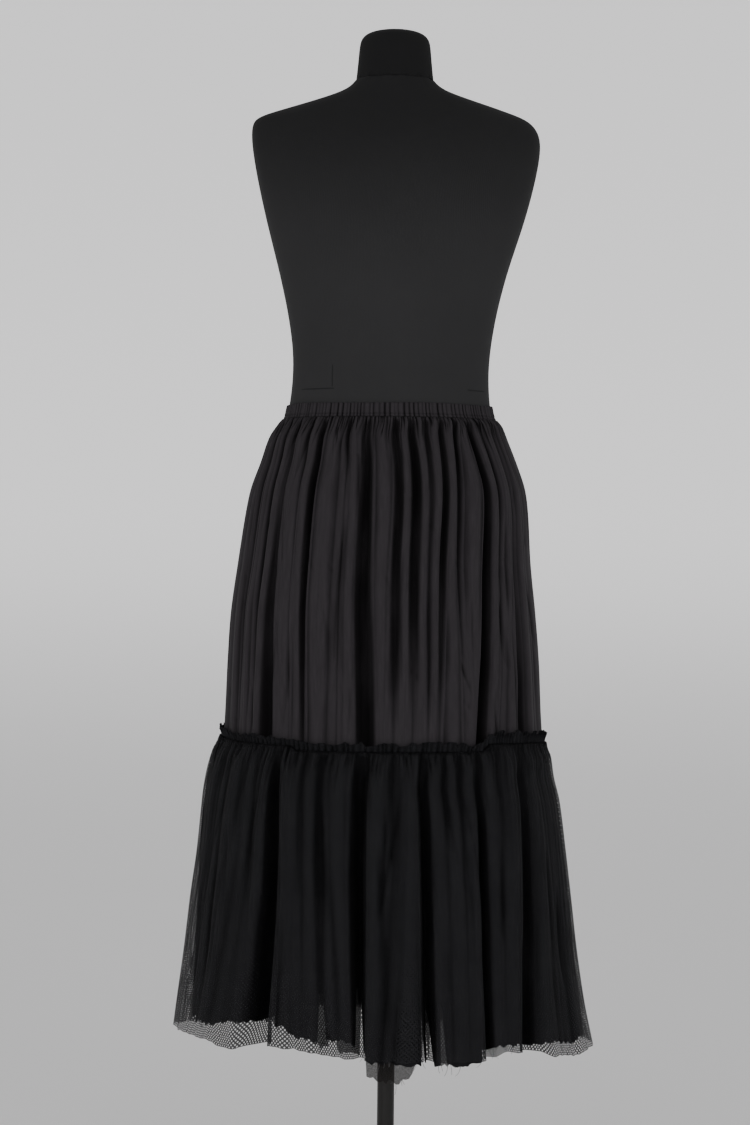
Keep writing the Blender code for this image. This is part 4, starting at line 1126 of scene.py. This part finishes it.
def net_shade(colours, cell):
    """Tulle: two sets of slanting threads with small see-through holes between them."""
    shade = Shade("tulle_net")
    vector = shade.cloth_place()
    across, down = shade.numbers(vector)[:2]
    sway = shade.noise(vector, 30.0, 2.0) * 0.6
    edge = shade.noise(vector, 240.0, 2.0) * 0.2 + 0.44
    turns = math.pi / cell
    one = abs(((across * 0.866 + down * 0.5) * turns + sway).sine())
    two = abs(((across * 0.866 - down * 0.5) * turns + sway).sine())
    hole = (one - edge).step(0.0, 0.4) * (two - edge).step(0.0, 0.4)
    tone = shade.tones(shade.noise(vector, 16.0, 2.0), colours.net, 0.8, 1.2)
    # dark is painted shade: folds, creases and the gathers' lines darken the colour
    dark = shade.painted_shade().high_of(shade.gathers(*TIER_GATHERS) * 0.9)
    shade.set(
        Base_Color=shade.mix(dark * 0.9, tone, scaled(colours.net, 0.1)), Roughness=0.7,
        Sheen_Weight=0.01, Specular_IOR_Level=0.02, Alpha=0.93 - hole * 0.86,
    )
    shade.bump(one.low_of(two), 0.0003, 0.4)
    return shade.material


def sheer_shade(colours):
    """Thin sheer lining, a little brown, with a fine grain and a see-through cast."""
    shade = Shade("sheer_lining")
    vector = shade.cloth_place()
    grain = shade.noise(vector, 800.0, 3.0, 0.7)
    slubs = shade.noise(vector, 220.0, 2.0, 0.6, (1.0, 0.1, 1.0))
    shade.set(
        Base_Color=shade.tones(slubs, colours.sheer, 0.8, 1.4), Roughness=0.7,
        Sheen_Weight=0.03, Specular_IOR_Level=0.08, Alpha=grain.step(0.35, 0.6) * 0.2 + 0.72,
    )
    shade.bump(grain + slubs, 0.0003, 0.5)
    return shade.material


def thread_shade(colours):
    """Loose silk threads, with a twist along them."""
    shade = Shade("silk_thread")
    x, _, z = shade.numbers(shade.object_place())
    twist = (z * 9000.0 + x * 4000.0).sine() * 0.5 + 0.5
    shade.set(
        Base_Color=shade.tones(twist, colours.silk, 0.8, 2.2), Roughness=0.5,
        Sheen_Weight=0.2, Specular_IOR_Level=0.4,
    )
    shade.bump(twist, 0.0001, 0.5)
    return shade.material


def metal_shade(colours):
    """Dark warm paint over metal: a faint orange peel, dust and small scuffs."""
    shade = Shade("painted_metal")
    vector = shade.object_place()
    cloud = shade.noise(vector, 6.0, 4.0)
    scuffs = shade.noise(vector, 70.0, 4.0, 0.7, (1.0, 1.0, 0.15))
    tone = shade.tones(cloud, colours.metal, 0.85, 1.15)
    shade.set(
        Base_Color=shade.mix(scuffs.step(0.62, 0.8) * 0.4, tone, scaled(colours.metal, 2.2)),
        Roughness=cloud * 0.12 + scuffs * 0.12 + 0.36, Metallic=0.0, Specular_IOR_Level=0.3,
    )
    shade.bump(shade.noise(vector, 420.0, 2.0), 0.0002, 0.25)
    return shade.material


def backdrop_shade(colours):
    """Plain pale paper, hardly uneven, that glows a little so that it is evenly lit."""
    shade = Shade("backdrop")
    vector = shade.object_place()
    z = shade.numbers(vector)[2]
    paper = shade.tones(shade.noise(vector, 0.6, 2.0), colours.backdrop, 0.985, 1.015)
    upper = shade.mix(z.step(*WALL_TO_TOP), paper, scaled(colours.backdrop, TOP_GLOW))
    shade.set(
        Base_Color=paper, Roughness=0.95, Specular_IOR_Level=0.1, Emission_Strength=WALL_GLOW,
        Emission_Color=shade.mix(z.step(*FLOOR_TO_WALL), scaled(colours.backdrop, FLOOR_GLOW), upper),
    )
    return shade.material


def smooth_copy(node, name):
    """A copy of a CAD node, merged and rounded off, with its own object."""
    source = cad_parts[node]
    thing = bpy.data.objects.new(name, source.data.copy())
    bpy.context.collection.objects.link(thing)
    select_only(thing)
    bpy.ops.object.mode_set(mode="EDIT")
    bpy.ops.mesh.select_all(action="SELECT")
    bpy.ops.mesh.remove_doubles(threshold=0.00001)
    bpy.ops.mesh.tris_convert_to_quads(face_threshold=QUAD_ANGLE, shape_threshold=QUAD_SHAPE)
    bpy.ops.mesh.normals_make_consistent(inside=False)
    bpy.ops.mesh.select_all(action="DESELECT")
    bpy.ops.mesh.select_mode(type="EDGE")
    bpy.ops.mesh.edges_select_sharp(sharpness=SHARP_ANGLE)
    bpy.ops.transform.edge_crease(value=1.0)
    bpy.ops.object.mode_set(mode="OBJECT")
    bpy.ops.object.modifier_add(type="SUBSURF")
    rounding = thing.modifiers[-1]
    rounding.levels = rounding.render_levels = ROUNDING_LEVELS
    bpy.ops.object.modifier_apply(modifier=rounding.name)
    bpy.ops.object.shade_smooth_by_angle(angle=SMOOTH_ANGLE)
    return thing


def build_halves(context, piece, points_of, shade, slot, wall=0.0):
    """Front and back of a cloth: a sheet each, with a wall where it has one."""
    sizes = context.scene.skirt_sizes
    for side in ("front", "back"):
        cloth = cloth_mesh(f"{piece}_{side}_cloth", *points_of(side, sizes))
        if wall:
            thicken(cloth, wall)
        place(cloth, f"{piece}_{side}", slot, shade)


def tubes(name, paths, radius, sides=4):
    """One mesh of thin threads along paths of points."""
    points, quads = [], []
    for path in paths:
        path = np.array(path)
        base = len(points)
        for spot in path:
            for corner in range(sides):
                angle = math.tau * corner / sides
                points.append(spot + radius * np.array([math.cos(angle), math.sin(angle), 0.0]))
        for row in range(len(path) - 1):
            for corner in range(sides):
                after = (corner + 1) % sides
                low, high = base + row * sides, base + (row + 1) * sides
                quads.append((low + corner, high + corner, high + after, low + after))
        quads.append(tuple(base + corner for corner in range(sides)))
        quads.append(tuple(base + (len(path) - 1) * sides + corner for corner in reversed(range(sides))))
    mesh = bpy.data.meshes.new(name)
    mesh.from_pydata([tuple(point) for point in points], [], quads)
    mesh.shade_smooth()
    thing = bpy.data.objects.new(name, mesh)
    bpy.context.collection.objects.link(thing)
    return thing


def build_threads(context):
    """Loose threads that hang from the raw hems of the lower tier and the underskirt."""
    sizes = context.scene.skirt_sizes
    chance = np.random.default_rng(THREAD_SEED)
    paths = []
    for side in ("front", "back"):
        for points_of, share in (
            (lower_points, THREAD_SHARES["lower"]), (underskirt_points, THREAD_SHARES["underskirt"]),
        ):
            hem = points_of(side, sizes)[0][-1]
            for _ in range(int(sizes.loose_threads * share / 2)):
                start = hem[chance.integers(4, len(hem) - 4)] + np.array([0.0, 0.0, THREAD_START])
                length = chance.uniform(*THREAD_LENGTHS)
                lean = chance.uniform(-THREAD_LEAN, THREAD_LEAN, 2)
                bend = chance.uniform(-THREAD_BEND, THREAD_BEND, 2)
                path = []
                for step in np.linspace(0.0, 1.0, THREAD_POINTS):
                    sideways = (lean * step + bend * step ** 2) * length * 0.5
                    fall = -length * step * (1.0 - 0.25 * step)
                    path.append(start + np.array([*sideways, fall]))
                paths.append(path)
    threads = tubes("loose_threads", paths, sizes.thread_radius)
    paint(threads, thread_shade(context.scene.skirt_colours))
    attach(threads, "root")


def add_light(lamp):
    """A soft square light aimed at a point."""
    bpy.ops.object.light_add(type="AREA", location=lamp.place)
    light = bpy.context.object
    light.name = lamp.name
    light.data.size = lamp.size
    light.data.energy = lamp.power
    light.data.color = lamp.colour
    light.rotation_euler = (Vector(lamp.target) - Vector(lamp.place)).to_track_quat("-Z", "Y").to_euler()
    light.visible_camera = False


def build_stage(context):
    """A pale floor that sweeps up into a wall all round, soft lights and the camera."""
    bpy.ops.object.select_all(action="DESELECT")
    bpy.ops.mesh.primitive_circle_add(
        vertices=96, radius=STAGE_PROFILE[0][0], fill_type="NGON", location=(0.0, 0.0, 0.0),
    )
    floor = bpy.context.object
    floor.name = "studio_sweep"
    bpy.ops.object.mode_set(mode="EDIT")
    bpy.ops.mesh.select_all(action="SELECT")
    bpy.ops.mesh.select_mode(type="EDGE")
    bpy.ops.mesh.region_to_loop()
    for (before, low), (after, high) in zip(STAGE_PROFILE, STAGE_PROFILE[1:]):
        bpy.ops.mesh.extrude_edges_move(TRANSFORM_OT_translate={"value": (0.0, 0.0, high - low)})
        share = after / before
        bpy.ops.transform.resize(value=(share, share, 1.0), center_override=(0.0, 0.0, high))
    bpy.ops.mesh.select_all(action="SELECT")
    bpy.ops.mesh.normals_make_consistent(inside=True)
    bpy.ops.object.mode_set(mode="OBJECT")
    bpy.ops.object.shade_smooth_by_angle(angle=SMOOTH_ANGLE)
    paint(floor, backdrop_shade(context.scene.skirt_colours))

    world = bpy.data.worlds.new("studio_air")
    world.use_nodes = True
    air = world.node_tree.nodes["Background"]
    air.inputs["Color"].default_value = (1.0, 1.0, 1.0, 1.0)
    air.inputs["Strength"].default_value = AIR_LIGHT
    context.scene.world = world
    for lamp in LAMPS:
        add_light(lamp)

    bpy.ops.object.camera_add(location=CAMERA_PLACE)
    camera = bpy.context.object
    camera.name = "photo_camera"
    camera.rotation_euler = Euler((math.radians(CAMERA_TILT), math.radians(CAMERA_ROLL), 0.0))
    camera.data.lens = CAMERA_LENS
    camera.data.sensor_width = CAMERA_SENSOR
    camera.data.clip_end = 100.0
    context.scene.camera = camera


class SKIRT_OT_form(bpy.types.Operator):
    """Build the dress form's torso and its darker neck block"""

    bl_idname = "skirt.form"
    bl_label = "Dress form"

    def execute(self, context):
        colours = context.scene.skirt_colours
        for node, name, shade_name, lightness in FORM_PIECES:
            thing = smooth_copy(node, name)
            place(thing, node, "form_jersey", jersey_shade(colours, shade_name, lightness))
        return {"FINISHED"}


class SKIRT_OT_stand(bpy.types.Operator):
    """Paint the pole, its fittings and the base plate"""

    bl_idname = "skirt.stand"
    bl_label = "Stand"

    def execute(self, context):
        shade = metal_shade(context.scene.skirt_colours)
        for node in ("pole", "pole_collar", "pole_boss", "base_plate"):
            paint(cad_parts[node], shade)
        return {"FINISHED"}


class SKIRT_OT_waistband(bpy.types.Operator):
    """Build the elastic waistband with its crimps"""

    bl_idname = "skirt.waistband"
    bl_label = "Waistband"

    def execute(self, context):
        sizes, colours = context.scene.skirt_sizes, context.scene.skirt_colours
        band = cloth_mesh("elastic_waistband", *waistband_points(sizes), closed=True)
        thicken(band, sizes.cloth_wall)
        place(band, "waistband", "cotton", cotton_shade(colours, "cotton_casing", False))
        return {"FINISHED"}


class SKIRT_OT_upper_tier(bpy.types.Operator):
    """Build the two halves of the upper tier"""

    bl_idname = "skirt.upper_tier"
    bl_label = "Upper tier"

    def execute(self, context):
        sizes, colours = context.scene.skirt_sizes, context.scene.skirt_colours
        build_halves(
            context, "upper_tier", upper_points, cotton_shade(colours, "cotton_voile", True),
            "cotton", sizes.cloth_wall,
        )
        return {"FINISHED"}


class SKIRT_OT_heading(bpy.types.Operator):
    """Build the torn and ruffled heading over the tier seam"""

    bl_idname = "skirt.heading"
    bl_label = "Ruffled heading"

    def execute(self, context):
        sizes, colours = context.scene.skirt_sizes, context.scene.skirt_colours
        build_halves(
            context, "ruffled_heading", heading_points, silk_shade(colours, "silk_ruffle", False),
            "silk", sizes.cloth_wall * SILK_WALL_SHARE,
        )
        return {"FINISHED"}


class SKIRT_OT_lower_tier(bpy.types.Operator):
    """Build the two halves of the lower tier"""

    bl_idname = "skirt.lower_tier"
    bl_label = "Lower tier"

    def execute(self, context):
        sizes, colours = context.scene.skirt_sizes, context.scene.skirt_colours
        build_halves(
            context, "lower_tier", lower_points, silk_shade(colours, "silk_organza", True),
            "silk", sizes.cloth_wall * SILK_WALL_SHARE,
        )
        return {"FINISHED"}


class SKIRT_OT_net(bpy.types.Operator):
    """Build the two halves of the net overskirt"""

    bl_idname = "skirt.net"
    bl_label = "Net overskirt"

    def execute(self, context):
        sizes, colours = context.scene.skirt_sizes, context.scene.skirt_colours
        build_halves(
            context, "net_overskirt", net_points, net_shade(colours, sizes.net_cell),
            "net",
        )
        return {"FINISHED"}


class SKIRT_OT_underskirt(bpy.types.Operator):
    """Build the two halves of the sheer underskirt"""

    bl_idname = "skirt.underskirt"
    bl_label = "Sheer underskirt"

    def execute(self, context):
        build_halves(
            context, "sheer_underskirt", underskirt_points, sheer_shade(context.scene.skirt_colours),
            "sheer",
        )
        return {"FINISHED"}


class SKIRT_OT_threads(bpy.types.Operator):
    """Add loose threads to the raw hems"""

    bl_idname = "skirt.threads"
    bl_label = "Loose threads"

    def execute(self, context):
        build_threads(context)
        return {"FINISHED"}


class SKIRT_OT_stage(bpy.types.Operator):
    """Add the floor, the lights and the camera"""

    bl_idname = "skirt.stage"
    bl_label = "Stage"

    def execute(self, context):
        build_stage(context)
        return {"FINISHED"}


OPERATORS = (
    SKIRT_OT_form, SKIRT_OT_stand, SKIRT_OT_waistband, SKIRT_OT_upper_tier, SKIRT_OT_heading,
    SKIRT_OT_lower_tier, SKIRT_OT_net, SKIRT_OT_underskirt, SKIRT_OT_threads, SKIRT_OT_stage,
)


class SKIRT_PT_panel(bpy.types.Panel):
    """The skirt's sizes, colours and building steps"""

    bl_idname = "SKIRT_PT_panel"
    bl_label = "Skirt"
    bl_space_type = "VIEW_3D"
    bl_region_type = "UI"
    bl_category = "Skirt"

    def draw(self, context):
        for group in (context.scene.skirt_sizes, context.scene.skirt_colours):
            column = self.layout.column(align=True)
            for name in group.__annotations__:
                column.prop(group, name)
        column = self.layout.column(align=True)
        for operator in OPERATORS:
            column.operator(operator.bl_idname)


CLASSES = (SkirtSizes, SkirtColours, *OPERATORS, SKIRT_PT_panel)


def register():
    for made in CLASSES:
        bpy.utils.register_class(made)
    bpy.types.Scene.skirt_sizes = bpy.props.PointerProperty(type=SkirtSizes)
    bpy.types.Scene.skirt_colours = bpy.props.PointerProperty(type=SkirtColours)


def unregister():
    del bpy.types.Scene.skirt_colours
    del bpy.types.Scene.skirt_sizes
    for made in reversed(CLASSES):
        bpy.utils.unregister_class(made)


def main():
    register()
    for step in OPERATORS:
        getattr(bpy.ops.skirt, step.bl_idname.split(".")[1])()


if __name__ == "__main__":
    main()
